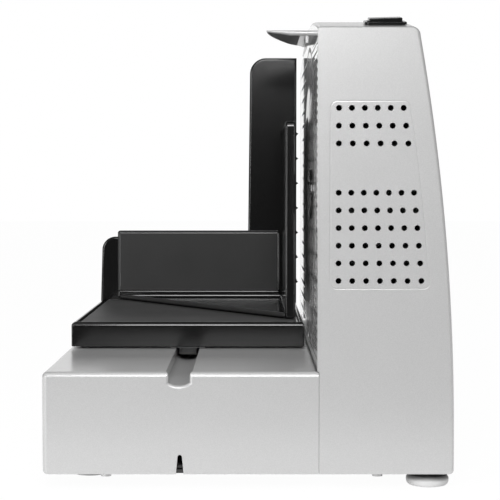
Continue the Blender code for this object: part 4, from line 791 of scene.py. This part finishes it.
def lock_cap():
    low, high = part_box("blade_lock_cap")
    radius = (high[1] - low[1]) / 2
    top, edge = low[0], CAP_EDGE
    profile = [(0, top + edge), (radius * CAP_SOCKET_SHARE, top + edge), (radius * CAP_RIM_SHARE, top),
               (radius - edge, top), (radius, top + edge), (radius, high[0]), (0, high[0])]
    return smooth(turned("lock_cap", profile, "X", BLADE_CENTRE, 96))


def blade_guard():
    """The hollow wedge over the blade with its tab, and a dark sheet inside its underside that paints the
    shade in the hollow.
    """
    near, far = GUARD_LOW[1], GUARD_HIGH[1]
    right = GUARD_HIGH[0]
    tip = right - GUARD_REACH
    low = WALL_HIGH[2] + GUARD_WALL
    bend = tip + GUARD_BEND
    room_right = tip + GUARD_ROOM
    rings, room, shade_sheet = [], [], []

    def under(x):
        return low + GUARD_SLANT * max(bend - x, 0) / GUARD_BEND

    noses = [(share, sin(pi / 2 * share)) for share in GUARD_NOSE_SHARES]
    places = [(near + GUARD_NOSE * (1 - cos(pi / 2 * share)), squeeze) for share, squeeze in noses]
    places += [(y, 1) for y in spread(near + GUARD_NOSE, far, 40)]
    for k, (y, squeeze) in enumerate(places):
        share = (y - near) / (far - near)
        x = min(tip + GUARD_REACH * share ** GUARD_TAPER, right - GUARD_TAB_THICKNESS)
        high = top_height(min(y, CROWN_Y)) - GUARD_DROP
        edge_low = under(x)
        radius = min(high - edge_low, right - x) * GUARD_ROUND_SHARE
        outline = [(max(bend, x + 2 * radius), low)]
        outline += arc((x + radius, edge_low + radius), radius, 1.5 * pi, pi, 4)
        outline += arc((x + radius, high - radius), radius, pi, pi / 2, 4)
        outline += [(right, high), (right, low)]
        middle = [(high + under(a)) / 2 for a, _ in outline]
        rings.append([(a, y, m + (b - m) * squeeze) for (a, b), m in zip(outline, middle)])
        if k < len(noses) or x + 2 * GUARD_WALL >= room_right:
            continue
        left, top = x + GUARD_WALL, high - GUARD_WALL
        room.append([(left, y, low - OVERRUN), (room_right, y, low - OVERRUN), (room_right, y, top),
                     (left, y, top)])
        # A thin dark sheet just above the underside plane: painted shade in the hollow
        left += GAP / 3
        sheet = [(a, under(a) + GAP) for a in (left, max(bend, left + GAP), room_right - GAP / 3)]
        shade_sheet.append([(a, y, b) for a, b in sheet]
                      + [(a, y, b + GUARD_SHADE_SHEET) for a, b in reversed(sheet)])
    guard = carve(skin("guard_wedge", rings), skin("guard_room", room))
    tab_near = near + GUARD_TAB_THICKNESS
    fuse(guard, block("tab", (right - GUARD_TAB_THICKNESS, tab_near, GUARD_LOW[2]),
                      (right, tab_near + GUARD_TAB_LENGTH, low + GUARD_WALL)))
    return soften(guard, SHEET_EDGE, 2), smooth(skin("guard_painted_shade", shade_sheet[1:-1]))


def rounded_slab(name, low, high, corner, edge, bottom_edge=None):
    """An upright slab with rounded corners and a rounded upper edge."""
    places = [(low[2], 0)]
    if bottom_edge:
        places = [(low[2] + rise, inset) for rise, inset in fillet_steps(bottom_edge, 6)[:-1]]
    places += [(high[2] - drop, inset) for inset, drop in fillet_steps(edge, 6)]
    return skin(name, rounded_rings(low[:2], high[:2], (corner,) * 4, "Z", places))


def carriage_tray():
    """The tray's skirt with its rolled rim, and inside a groove the raised floor that carries the food."""
    tray = rounded_slab("tray", TRAY_LOW, TRAY_HIGH, TRAY_CORNER, TRAY_EDGE, GAP)
    x0, y0 = TRAY_LOW[0] + TRAY_RIM_WIDTH, TRAY_LOW[1] + TRAY_RIM_WIDTH
    x1, y1 = TRAY_HIGH[0] - TRAY_RIM_WIDTH, TRAY_HIGH[1] + OVERRUN
    top = TRAY_HIGH[2]
    sink = block("tray_sink", (x0, y0, top - TRAY_RIM), (x1, y1, top + OVERRUN))
    hollow = block("tray_under", (TRAY_LOW[0] + WALL, TRAY_LOW[1] + WALL, TRAY_LOW[2] - OVERRUN),
                   (TRAY_HIGH[0] - WALL, TRAY_HIGH[1] - WALL, top - TRAY_RIM - WALL))
    carve(tray, sink, hollow)
    raised = rounded_slab("tray_floor", (x0 + TRAY_GROOVE, y0 + TRAY_GROOVE, top - TRAY_RIM - GAP),
                          (x1 - TRAY_GROOVE, TRAY_HIGH[1] - GAP, top - TRAY_FLOOR_DROP),
                          TRAY_CORNER / 2, TRAY_FLOOR_EDGE)
    return smooth(tray, radians(30)), smooth(raised, radians(30))


def carriage_wall():
    """The low wall behind the food and the tall hand guard in one sheet."""
    left, right, low = WALL_LOW[0], WALL_HIGH[0], WALL_LOW[2]
    high_left = right - HIGH_WALL_WIDTH
    outline = [(left - LOW_WALL_DRAFT, low), (right, low), (right, WALL_HIGH[2])]
    r = HIGH_WALL_CORNER
    outline += arc((high_left + r, WALL_HIGH[2] - r), r, pi / 2, pi, 20)
    outline.append((high_left - HIGH_WALL_DRAFT, LOW_WALL_TOP))
    r = LOW_WALL_CORNER
    outline += arc((left + r, LOW_WALL_TOP - r), r, pi / 2, pi, 20)
    return smooth(rolled("wall", outline, "Y", WALL_LOW[1], WALL_HIGH[1], WALL_EDGE), radians(30))


def carriage_shoe():
    low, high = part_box("carriage_shoe")
    half = SLOT_WIDTH / 2 - GAP
    under = BASE_TOP + GAP
    outline = [(low[0], under), (SLOT_X - half, under), (SLOT_X - half, low[2]), (SLOT_X + half, low[2]),
               (SLOT_X + half, under), (high[0], under), (high[0], high[2]), (low[0], high[2])]
    return soften(prism("shoe", outline, "Y", low[1], high[1]), SHOE_EDGE, 3)


def pusher_plate():
    """The upright plate behind the food, with a rolled border towards the panel."""
    low, high = PLATE_LOW, PLATE_HIGH
    r = PUSHER_PLATE_CORNER
    outline = rounded_outline((low[1], low[2]), (high[1], high[2]), (GAP, GAP, r, r))
    plate = rolled("food_pusher", outline, "X", low[0], high[0] - SPIKE_LENGTH, PLATE_EDGE)
    inner = rounded_outline((low[1] + PLATE_BORDER, low[2] + PLATE_BORDER),
                            (high[1] + OVERRUN, high[2] - PLATE_BORDER), (r / 2,) * 4)
    sides = ((-OVERRUN, PLATE_EDGE), (0, PLATE_EDGE), (PLATE_EDGE / 2, PLATE_EDGE / 4), (PLATE_EDGE, 0))
    places = [(low[0] + depth, wider) for depth, wider in sides]
    carve(plate, skin("plate_sink", outset_rings(inner, "X", places)))
    return smooth(plate, radians(30))


def pusher_spikes():
    """Short pointed cones on the food side of the pusher plate."""
    face = PLATE_HIGH[0] - SPIKE_LENGTH
    sections = ((face - GAP, SPIKE_WIDTH / 2), (face + SPIKE_LENGTH, SPIKE_WIDTH / 2 * SPIKE_TIP_SHARE))
    columns, rows = (int((PLATE_HIGH[i] - PLATE_LOW[i]) / SPIKE_PITCH) for i in (1, 2))
    groups = []
    for row in range(rows):
        for column in range(columns):
            centre = (PLATE_LOW[1] + SPIKE_PITCH * (column + 0.5),
                      PLATE_HIGH[2] - SPIKE_PITCH * (row + 0.5))
            rings = [layer("X", circle(centre, radius, 12), x) for x, radius in sections]
            groups.append(rings + [layer("X", [centre], PLATE_HIGH[0] + SPIKE_EXTRA)])
    return smooth(skins("pusher_points", groups))


def cushion(name, low, high, corner, roll, near, far):
    """An upright sheet across Y with its edge rolled on the near side."""
    places = [(near + depth, inset) for depth, inset in fillet_steps(roll, 8)] + [(far, 0)]
    return smooth(skin(name, rounded_rings(low, high, (corner,) * 4, "Y", places)), radians(30))


def inner_corner(radius, corner, toward):
    """Outline that fills a concave corner with a quarter round. toward are the signs of its two walls."""
    a, b = corner
    to_a, to_b = toward
    outline = [(a - to_a * GAP, b - to_b * GAP), (a + to_a * radius, b - to_b * GAP)]
    outline += [(a + to_a * run, b + to_b * rise) for rise, run in fillet_steps(radius, 8)]
    outline.append((a - to_a * GAP, b + to_b * radius))
    return outline


def pusher_panel():
    """Panel with its ledge, the gusset with a raised rim, the hook over the low wall and the grip."""
    left, right = PANEL_LOW[0], PANEL_HIGH[0]
    near, low, top = PLATE_LOW[1], PANEL_LOW[2], PANEL_HIGH[2]
    panel_far = PLATE_HIGH[1]
    panel_near = panel_far - PANEL_THICKNESS
    hook_right = WALL_HIGH[0] - HIGH_WALL_WIDTH - HOOK_GAP_TO_WALL
    hook_near = WALL_HIGH[1] + GAP
    hook_far = hook_near + PANEL_THICKNESS
    panel = cushion("panel", (left, low), (right, top + PANEL_RISE), CORNER_ROUND, PANEL_ROLL,
                    panel_near, panel_far)
    ledge_near = panel_near - RIB_DEPTH
    rib = block("panel_rib", (left + GAP, ledge_near, low + GAP),
                (right, panel_near + GAP, low + RIB_RISE))
    soften(rib, PANEL_EDGE, 5)
    floor = low + GUSSET_HEIGHT - GUSSET_SINK
    web = prism("gusset_floor", [(left + GUSSET_RIM, panel_near), (right, near + GUSSET_RIM),
                                 (right, panel_near)], "Z", low + GAP, floor)
    run, rise = right - left, near - panel_near
    length = sqrt(run * run + rise * rise)
    across = (-rise / length * GUSSET_RIM, run / length * GUSSET_RIM)
    gusset = prism("gusset", [(left, panel_near - GAP), (right, near), (right + GAP, near + across[1] * 2),
                              (left + across[0] * 2, panel_near + GAP)], "Z", low, low + GUSSET_HEIGHT)
    carve(gusset, prism("gusset_sink", [(left + across[0], panel_near + across[1]),
                                        (right + OVERRUN, near + across[1]), (right + OVERRUN, panel_far),
                                        (left + across[0], panel_far)], "Z", low - OVERRUN, low + RIB_RISE))
    soften(gusset, GUSSET_EDGE, 5, radians(20))
    foot_round = prism("ledge_round", inner_corner(CORNER_ROUND, (ledge_near, floor), (-1, 1)), "X",
                       left + CORNER_ROUND, right)
    side_round = prism("corner_round", inner_corner(CORNER_ROUND, (right, panel_near), (-1, -1)), "Z",
                       low + GAP, top - PANEL_EDGE)
    rounds = [smooth(foot_round), smooth(side_round)]
    hook = prism("hook", [(panel_near + OVERRUN, LOW_WALL_TOP + GAP), (hook_near, LOW_WALL_TOP + GAP),
                          (hook_near, top - HOOK_DROP), (hook_far, top - HOOK_DROP), (hook_far, top),
                          (panel_near + OVERRUN / 2, top)], "X", left + WALL, hook_right)
    soften(hook, PLASTIC_EDGE, 4)
    middle = (left + hook_right) / 2
    centre = top - HOOK_DROP / 2
    half = HOOK_DROP / 2 - WALL
    outline = [(hook_far - WALL / 2, centre - half)]
    outline += arc((hook_far + GRIP_DEPTH - half, centre), half, -pi / 2, pi / 2, 24)
    outline.append((hook_far - WALL / 2, centre + half))
    grip = prism("grip", outline, "X", middle - GRIP_LENGTH / 2, middle + GRIP_LENGTH / 2)
    soften(grip, GRIP_EDGE, 5, radians(50))
    return panel, gusset, [rib, smooth(web), hook, grip] + rounds


def switch_bezel():
    seat = switch_frame()
    half_length, half_width = SWITCH_LENGTH / 2, SWITCH_WIDTH / 2
    corner = half_width / 3
    outline = rounded_outline((-half_length, -half_width), (half_length, half_width), (corner,) * 4)
    bezel = prism("bezel", outline, "Z", GAP, BEZEL_HEIGHT, seat)
    carve(bezel, block("window", (-WINDOW_HALF_LENGTH, -WINDOW_HALF_WIDTH, -OVERRUN),
                       (WINDOW_HALF_LENGTH, WINDOW_HALF_WIDTH, BEZEL_HEIGHT + OVERRUN), seat))
    return soften(bezel, BEZEL_EDGE, 3)


def switch_rocker():
    reach = WINDOW_HALF_LENGTH - ROCKER_GAP - GAP
    depth = WINDOW_HALF_WIDTH - 2 * ROCKER_GAP
    high, low = BEZEL_HEIGHT + ROCKER_PROUD, BEZEL_HEIGHT + ROCKER_LOW_SIDE
    outline = [(-reach, 0), (0, -ROCKER_KEEL), (reach, 0), (reach, high),
               (-reach / 3, high - ROCKER_FALL), (-reach, low)]
    return soften(prism("rocker", outline, "Y", -depth, depth, switch_frame()), ROCKER_EDGE, 3)


def thickness_knob():
    low, high, rim = KNOB_LOW[1], KNOB_HIGH[1], KNOB_RADIUS
    edge = (high - low) / 10
    profile = [(0, low + KNOB_BORE_DEPTH), (KNOB_BORE, low + KNOB_BORE_DEPTH), (KNOB_BORE, low)]
    profile += arc((rim - edge / 2, low + edge / 2), edge / 2, -pi / 2, 0, 4)
    profile += arc((rim - edge, high - edge), edge, 0, pi / 2, 6)
    outer, inner = KNOB_SINK_SHARES
    profile += [(rim * outer, high), (rim * inner, high - KNOB_SINK), (0, high - KNOB_SINK)]

    def ripple(angle):
        return 1 - KNOB_FLUTE_DEPTH / rim * (0.5 - 0.5 * cos(angle * KNOB_FLUTES)) ** 2

    knob = turned("knob", profile, "Y", KNOB_CENTRE, 16 * KNOB_FLUTES, ripple)
    start, end = (KNOB_Z + rim * share for share in POINTER_SHARES)
    pointer = block("pointer", (KNOB_X - POINTER_HALF_WIDTH, high - POINTER_DEPTH, start),
                    (KNOB_X + POINTER_HALF_WIDTH, high - GAP, end))
    return smooth(knob), soften(pointer, SHEET_EDGE, 2)


def dial_ring():
    low, high = DIAL_LOW[1], DIAL_HIGH[1]
    edge = (high - low) / 3
    profile = [(DIAL_BORE, low), (DIAL_RADIUS, low), (DIAL_RADIUS, high - edge), (DIAL_RADIUS - edge, high),
               (DIAL_BORE, high)]
    return smooth(turned("dial", profile, "Y", KNOB_CENTRE, 160))


def dial_marks():
    """Strokes round the dial, a longer one at every fifth step, where a plain number belongs."""
    points, faces, numbers = [], [], []
    y = DIAL_HIGH[1] + DIAL_STROKE_LIFT
    outer = DIAL_RADIUS - DIAL_STROKE_OUTER
    for step in range(DIAL_STEPS + 1):
        turn = pi / 2 + KNOB_RANGE * step / DIAL_STEPS
        if step % 5 == 0:
            numbers.append((step, turn))
        inset, half = DIAL_SHORT_STROKE if step % 5 else DIAL_LONG_STROKE
        inner = DIAL_RADIUS - inset
        faces.append(list(range(len(points), len(points) + 4)))
        for radius, side in ((inner, -half), (inner, half), (outer, half), (outer, -half)):
            points.append((KNOB_X - radius * cos(turn) + side * sin(turn), y,
                           KNOB_Z + radius * sin(turn) + side * cos(turn)))
    return add_object("dial_strokes", points, faces), numbers


def dial_number(step, turn):
    """One plain number on the dial's face, upright and read from behind the machine."""
    curve = bpy.data.curves.new("dial_number", "FONT")
    curve.body = str(step)
    curve.size = DIAL_NUMBER_HEIGHT
    curve.align_x = curve.align_y = "CENTER"
    curve.extrude = GAP / 10
    reach = DIAL_RADIUS - DIAL_NUMBER_INSET
    number = put(f"dial_number_{step}", curve)
    mesh = bpy.data.meshes.new_from_object(number)
    bpy.data.objects.remove(number, do_unlink=True)
    mesh.transform(Matrix(((-1, 0, 0, KNOB_X - reach * cos(turn)), (0, 0, 1, DIAL_HIGH[1] + GAP / 10),
                           (0, 1, 0, KNOB_Z + reach * sin(turn)), (0, 0, 0, 1))))
    return put(f"dial_number_{step}", mesh)


def foot(name, node):
    low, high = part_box(node)
    centre = ((low[0] + high[0]) / 2, (low[1] + high[1]) / 2)
    r, h = (high[0] - low[0]) / 2, BOTTOM
    rim = [(1 - FOOT_LIP_WIDTH * short, FOOT_LIP_HEIGHT * rise) for rise, short in fillet_steps(1, 5)]
    profile = [(a * r, b * h) for a, b in (*FOOT_CUP, *rim, *FOOT_NECK)]
    profile += [(FOOT_NECK_SHARE * r, h - FOOT_GAP), (FOOT_STEM, h - FOOT_GAP), (FOOT_STEM, high[2]),
                (0, high[2])]
    return smooth(turned(name, profile, "Z", centre, 96))


def cord_gland():
    low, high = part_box("cord_gland")
    centre = ((low[0] + high[0]) / 2, (low[2] + high[2]) / 2)
    near, far, lip = low[1], high[1], GLAND_LIP
    rim = (high[0] - low[0]) / 2
    profile = [(GLAND_BORE, near + lip), (GLAND_BORE + lip, near), (rim - lip, near), (rim, near + lip),
               (rim, near + 3 * lip), (rim - lip, near + 4 * lip), (rim - lip, far - lip),
               (rim - 2 * lip, far), (GLAND_BORE, far)]
    return smooth(turned("gland", profile, "Y", centre, 48))


class Board:
    """A node tree, with short calls for the nodes that the looks, the stage and the world need."""

    def __init__(self, owner):
        owner.use_nodes = True
        self.nodes, self.links = owner.node_tree.nodes, owner.node_tree.links

    def fill(self, sockets, values):
        """Sets input sockets to values, or links them where the value is a socket itself."""
        for socket, value in zip(sockets, values):
            if isinstance(value, bpy.types.NodeSocket):
                self.links.new(value, socket)
            else:
                socket.default_value = value

    def feed(self, node, **inputs):
        """Fills a node's inputs by name. An underscore stands for a space."""
        self.fill([node.inputs[name.replace("_", " ")] for name in inputs], inputs.values())
        return node

    def add(self, kind, **inputs):
        return self.feed(self.nodes.new("ShaderNode" + kind), **inputs)

    def math(self, operation, *values):
        node = self.add("Math")
        node.operation = operation
        self.fill(node.inputs, values)
        return node.outputs[0]

    def mix(self, share, first, second, end):
        node = self.add("MixShader")
        self.fill(node.inputs, (share, first, second))
        self.feed(self.nodes[end], Surface=node.outputs[0])

    def rays(self, *kinds):
        path = self.add("LightPath")
        share = path.outputs[f"Is {kinds[0]} Ray"]
        for kind in kinds[1:]:
            share = self.math("MAXIMUM", share, path.outputs[f"Is {kind} Ray"])
        return share


class Finish(Board):
    """One node material, with short calls for what changes over its surface."""

    def __init__(self, name, colour, metallic, roughness, **more):
        self.material = bpy.data.materials.new(name)
        super().__init__(self.material)
        self.shader = self.nodes["Principled BSDF"]
        self.feed(self.shader, Base_Color=(*colour, 1), Metallic=metallic, Roughness=roughness, **more)
        self.place = self.add("TexCoord").outputs["Object"]

    def noise(self, scale, detail, vector=None):
        return self.add("TexNoise", Scale=scale, Detail=detail, Vector=vector or self.place).outputs["Fac"]

    def between(self, value, low, high, from_low, from_high):
        return self.add("MapRange", Value=value, From_Min=from_low, From_Max=from_high,
                        To_Min=low, To_Max=high).outputs["Result"]

    def colour_from(self, value, first, second):
        node = self.add("Mix")
        node.data_type = "RGBA"
        self.feed(node, Factor=value, A=(*first, 1), B=(*second, 1))
        self.feed(self.shader, Base_Color=node.outputs["Result"])

    def roughness_from(self, value, low, high, from_low=0.3, from_high=0.7):
        self.feed(self.shader, Roughness=self.between(value, low, high, from_low, from_high))

    def bump(self, value, distance):
        bump = self.add("Bump", Height=value, Distance=distance, Strength=1)
        self.feed(self.shader, Normal=bump.outputs[0])


def grey(value):
    return (value, value, value)


def plain_look(name, colour, metallic, roughness, tones, wear, bump=None, band=None, **more):
    """A look with noise in its colour, its roughness and its bump.

    tones is (scale, detail, first colour, second colour), wear is (scale, detail, lowest roughness,
    highest roughness) and bump is (scale, detail, height). band is the part of the colour's noise in use.
    """
    finish = Finish(name, colour, metallic, roughness, **more)
    value = finish.noise(*tones[:2])
    finish.colour_from(finish.between(value, 0, 1, *band) if band else value, *tones[2:])
    finish.roughness_from(finish.noise(*wear[:2]), *wear[2:])
    if bump:
        finish.bump(finish.noise(*bump[:2]), bump[2])
    return finish.material


def moulded_black(name, tone, roughness, shine):
    """Dark moulded plastic with a fine even grain."""
    tones = [grey(tone * share) for share in PLASTIC_TONES]
    wear = [roughness + change for change in PLASTIC_WEAR]
    return plain_look(name, grey(tone), 0, roughness, (35, 3, *tones), (1200, 1, *wear),
                      (1500, 1, PLASTIC_GRAIN), Specular_IOR_Level=shine)


def ground_disc():
    """Bright steel ground in rings about the blade's centre."""
    finish = Finish("blade_steel_look", grey(0.74), 0.8, 0.12)
    parts = finish.add("SeparateXYZ", Vector=finish.place).outputs
    squares = [finish.math("POWER", finish.math("SUBTRACT", parts[axis], centre), 2.0)
               for axis, centre in (("Y", BLADE_Y), ("Z", BLADE_Z))]
    rings = finish.add("TexNoise")
    rings.noise_dimensions = "1D"
    finish.feed(rings, Scale=1800, Detail=3, W=finish.math("SQRT", finish.math("ADD", *squares)))
    finish.colour_from(rings.outputs["Fac"], grey(0.66), grey(0.80))
    finish.roughness_from(rings.outputs["Fac"], 0.08, 0.18)
    return finish.material


def brushed_steel():
    """Steel sheet with fine brushing lines along Y."""
    finish = Finish("brushed_plate_look", grey(SHEET_TONE), 0.55, 0.06)
    lines = finish.noise(1, 4, finish.add("Mapping", Scale=(900, 6, 1400), Vector=finish.place).outputs[0])
    finish.colour_from(lines, grey(SHEET_TONE * 0.92), grey(SHEET_TONE * 1.06))
    finish.roughness_from(lines, 0.03, 0.07)
    return finish.material


def foot_rubber():
    """Rubber that is pale at the cup on the table and dark higher up, where the darkening is painted shade
    under the base.
    """
    finish = Finish("foot_rubber_look", grey(0.045), 0, 0.42)
    height = finish.add("SeparateXYZ", Vector=finish.place).outputs["Z"]
    # Painted shade: the colour darkens up the foot towards the base above it
    share = finish.between(height, 0, 1, FOOT_PALE_BELOW, FOOT_SHADE_ABOVE)
    finish.colour_from(share, grey(0.80), grey(0.030))
    finish.roughness_from(finish.noise(120, 3), 0.38, 0.50)
    finish.bump(finish.noise(1800, 2), 0.00001)
    return finish.material


def copper_winding():
    """Enamelled wire laid side by side along the armature."""
    finish = Finish("copper_winding_look", (0.62, 0.27, 0.12), 0.9, 0.36)
    wires = finish.add("TexWave", Scale=330, Distortion=0.6, Vector=finish.place)
    wires.bands_direction = "X"
    finish.colour_from(wires.outputs["Fac"], (0.40, 0.15, 0.06), (0.70, 0.33, 0.16))
    finish.roughness_from(wires.outputs["Fac"], 0.30, 0.50, 0, 1)
    finish.bump(wires.outputs["Fac"], 0.0001)
    return finish.material


def dress(piece, body, *nodes, slot="black_plastic", look=None):
    """Gives a piece the look of its slot, or a given look, puts it on the body that it rides and hides the
    CAD nodes that it stands for.
    """
    piece.data.materials.clear()
    piece.data.materials.append(look or looks[slot])
    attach(piece, body)
    if nodes:
        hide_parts(*nodes)


def build_camera():
    lens = bpy.data.cameras.new("camera")
    lens.sensor_width = CAMERA_SENSOR
    lens.lens = CAMERA_LENS
    lens.clip_start, lens.clip_end = CAMERA_CLIP
    spot = (CAMERA_X, NEAR - CAMERA_DISTANCE, CAMERA_HEIGHT)
    bpy.context.scene.camera = put("camera", lens, spot, (pi / 2 - CAMERA_PITCH, 0, 0))


def build_stage():
    half = STAGE_SIZE / 2
    corners = [(-half, STAGE_NEAR, 0), (half, STAGE_NEAR, 0), (half, half, 0), (-half, half, 0)]
    floor = add_object("floor", corners, [[0, 1, 2, 3]])
    material = bpy.data.materials.new("floor_look")
    board = Board(material)
    shader = board.feed(board.nodes["Principled BSDF"], Base_Color=(*FLOOR_COLOUR, 1), Roughness=0.9,
                        Specular_IOR_Level=0)
    glow = board.add("Emission", Strength=FLOOR_GLOW)
    share = board.math("MULTIPLY", board.rays("Camera", "Glossy", "Transmission"), FLOOR_WHITE_SHARE)
    board.mix(share, shader.outputs[0], glow.outputs[0], "Material Output")
    floor.data.materials.append(material)


def build_world():
    """Even light for the object, white behind it, and a dimmer room on the camera's side."""
    world = bpy.data.worlds.new("studio")
    bpy.context.scene.world = world
    board = Board(world)
    towards = board.add("VectorMath")
    towards.operation = "DOT_PRODUCT"
    board.fill(towards.inputs, (board.add("TexCoord").outputs["Generated"], BACKDROP_DIRECTION))
    spread = board.add("MapRange", Value=towards.outputs["Value"], **BACKDROP_SPREAD)
    spread.interpolation_type = "SMOOTHSTEP"
    strength = board.math("MAXIMUM", spread.outputs["Result"], board.rays("Camera"))
    room = board.feed(board.nodes["Background"], Color=(1, 1, 1, 1), Strength=ROOM_LIGHT)
    white = board.add("Background", Color=(1, 1, 1, 1), Strength=strength)
    seen = board.rays("Camera", "Glossy", "Transmission")
    board.mix(seen, room.outputs[0], white.outputs[0], "World Output")


def area_light(name, location, target, size, watts):
    light = bpy.data.lights.new(name, "AREA")
    light.shape = "RECTANGLE"
    light.size, light.size_y = size
    light.energy = watts
    away = Vector(location) - Vector(target)
    put(name, light, location, away.to_track_quat("Z", "Y").to_euler())


def dress_nodes():
    """Gives each CAD node the look of its slot in the record."""
    for part in frame["record"]["subparts"]:
        for spot in frame["nodes"][part["node"]].material_slots:
            spot.material = looks[part["material_slot"]]


bpy.context.scene.view_settings.view_transform = "Standard"
build_camera()
build_stage()
build_world()
for lamp in LAMPS:
    area_light(*lamp)

looks = {
    "silver_lacquer": plain_look(
        "silver_lacquer_look", grey(0.60), 0.20, 0.36, (2600, 1, grey(0.57), grey(0.63)),
        (60, 3, 0.34, 0.38), (420, 2, 0.000004), (0.35, 0.65), Coat_Weight=0.8, Coat_Roughness=0.2),
    "brushed_plate": brushed_steel(),
    "blade_steel": ground_disc(),
    "black_plastic": moulded_black("black_plastic_look", 0.004, 0.15, 0.80),
    "switch_plastic": moulded_black("switch_plastic_look", 0.008, 0.18, 0.5),
    "foot_rubber": foot_rubber(),
    "copper_winding": copper_winding(),
    "bronze": plain_look(
        "bronze_look", (0.66, 0.46, 0.22), 1, 0.34, (90, 3, (0.60, 0.41, 0.19), (0.72, 0.52, 0.27)),
        (300, 2, 0.28, 0.42), (1200, 2, 0.00001)),
    "cast_iron_grey": plain_look(
        "cast_iron_look", grey(0.20), 0.85, 0.55, (160, 4, grey(0.16), grey(0.25)), (240, 3, 0.48, 0.66),
        (900, 4, 0.00008)),
    "pale_nylon": plain_look(
        "pale_nylon_look", (0.74, 0.73, 0.68), 0, 0.5, (40, 3, (0.70, 0.69, 0.63), (0.79, 0.78, 0.73)),
        (200, 2, 0.44, 0.56), (700, 2, 0.00002), Subsurface_Weight=0.05),
    "carbon_brush": plain_look(
        "carbon_look", grey(0.025), 0, 0.6, (900, 4, grey(0.015), grey(0.05)), (500, 3, 0.5, 0.75),
        (1400, 3, 0.00003)),
    "screw_steel": plain_look(
        "screw_steel_look", grey(0.55), 1, 0.34, (300, 3, grey(0.48), grey(0.62)), (500, 2, 0.28, 0.42),
        (2000, 2, 0.00001)),
}
dress_nodes()

satin = moulded_black("satin_black_look", 0.032, 0.30, 0.6)
# Dark satin for the tray's floor, also worn by the guard's painted-shade sheet
floor_and_shade_satin = moulded_black("tray_floor_and_shade_look", 0.075, 0.50, 0.25)
mark = plain_look("dial_mark_look", grey(0.78), 0, 0.5, (600, 2, grey(0.72), grey(0.84)),
                  (400, 2, 0.45, 0.6))

dress(motor_housing(), "frame", "motor_housing", slot="silver_lacquer")
dress(base_housing(), "frame", "base_housing", slot="silver_lacquer")
for build, body, node in ((side_plate, "frame", "blade_side_plate"),
                          (stop_plate, "stop_slider", "stop_plate")):
    plate, plate_ribs = build()
    dress(plate, body, node, slot="brushed_plate")
    dress(plate_ribs, body, slot="brushed_plate")
dress(blade(), "blade_drive", "blade", slot="blade_steel")
dress(lock_cap(), "blade_drive", "blade_lock_cap")
guard, shade_sheet = blade_guard()
dress(guard, "frame", "blade_guard", slot="silver_lacquer")
# The guard's dark sheet is painted shade, in the tray floor's dark look
dress(shade_sheet, "frame", look=floor_and_shade_satin)
tray, tray_floor = carriage_tray()
dress(tray, "carriage", "carriage_tray")
dress(tray_floor, "carriage", look=floor_and_shade_satin)
dress(carriage_wall(), "carriage", "carriage_wall")
dress(carriage_shoe(), "carriage", "carriage_shoe")
dress(pusher_plate(), "pusher", "pusher_plate")
dress(pusher_spikes(), "pusher")
panel, gusset, panel_parts = pusher_panel()
dress(panel, "pusher", "pusher_panel", look=satin)
dress(gusset, "pusher", look=satin)
for part in panel_parts:
    dress(part, "pusher")
dress(switch_bezel(), "frame", "switch_bezel", slot="switch_plastic")
dress(switch_rocker(), "rocker", "switch_rocker", slot="switch_plastic")
knob, pointer = thickness_knob()
dress(knob, "knob", "thickness_knob")
dress(pointer, "knob", look=mark)
dress(dial_ring(), "frame", "dial_ring")
strokes, numbers = dial_marks()
dress(strokes, "frame", look=mark)
for step, turn in numbers:
    dress(dial_number(step, turn), "frame", look=mark)
for name in ("foot_near_right", "foot_far_right", "foot_near_left", "foot_far_left"):
    dress(foot(name + "_rubber", name), "frame", name, slot="foot_rubber")
dress(cord_gland(), "frame", "cord_gland", slot="foot_rubber")
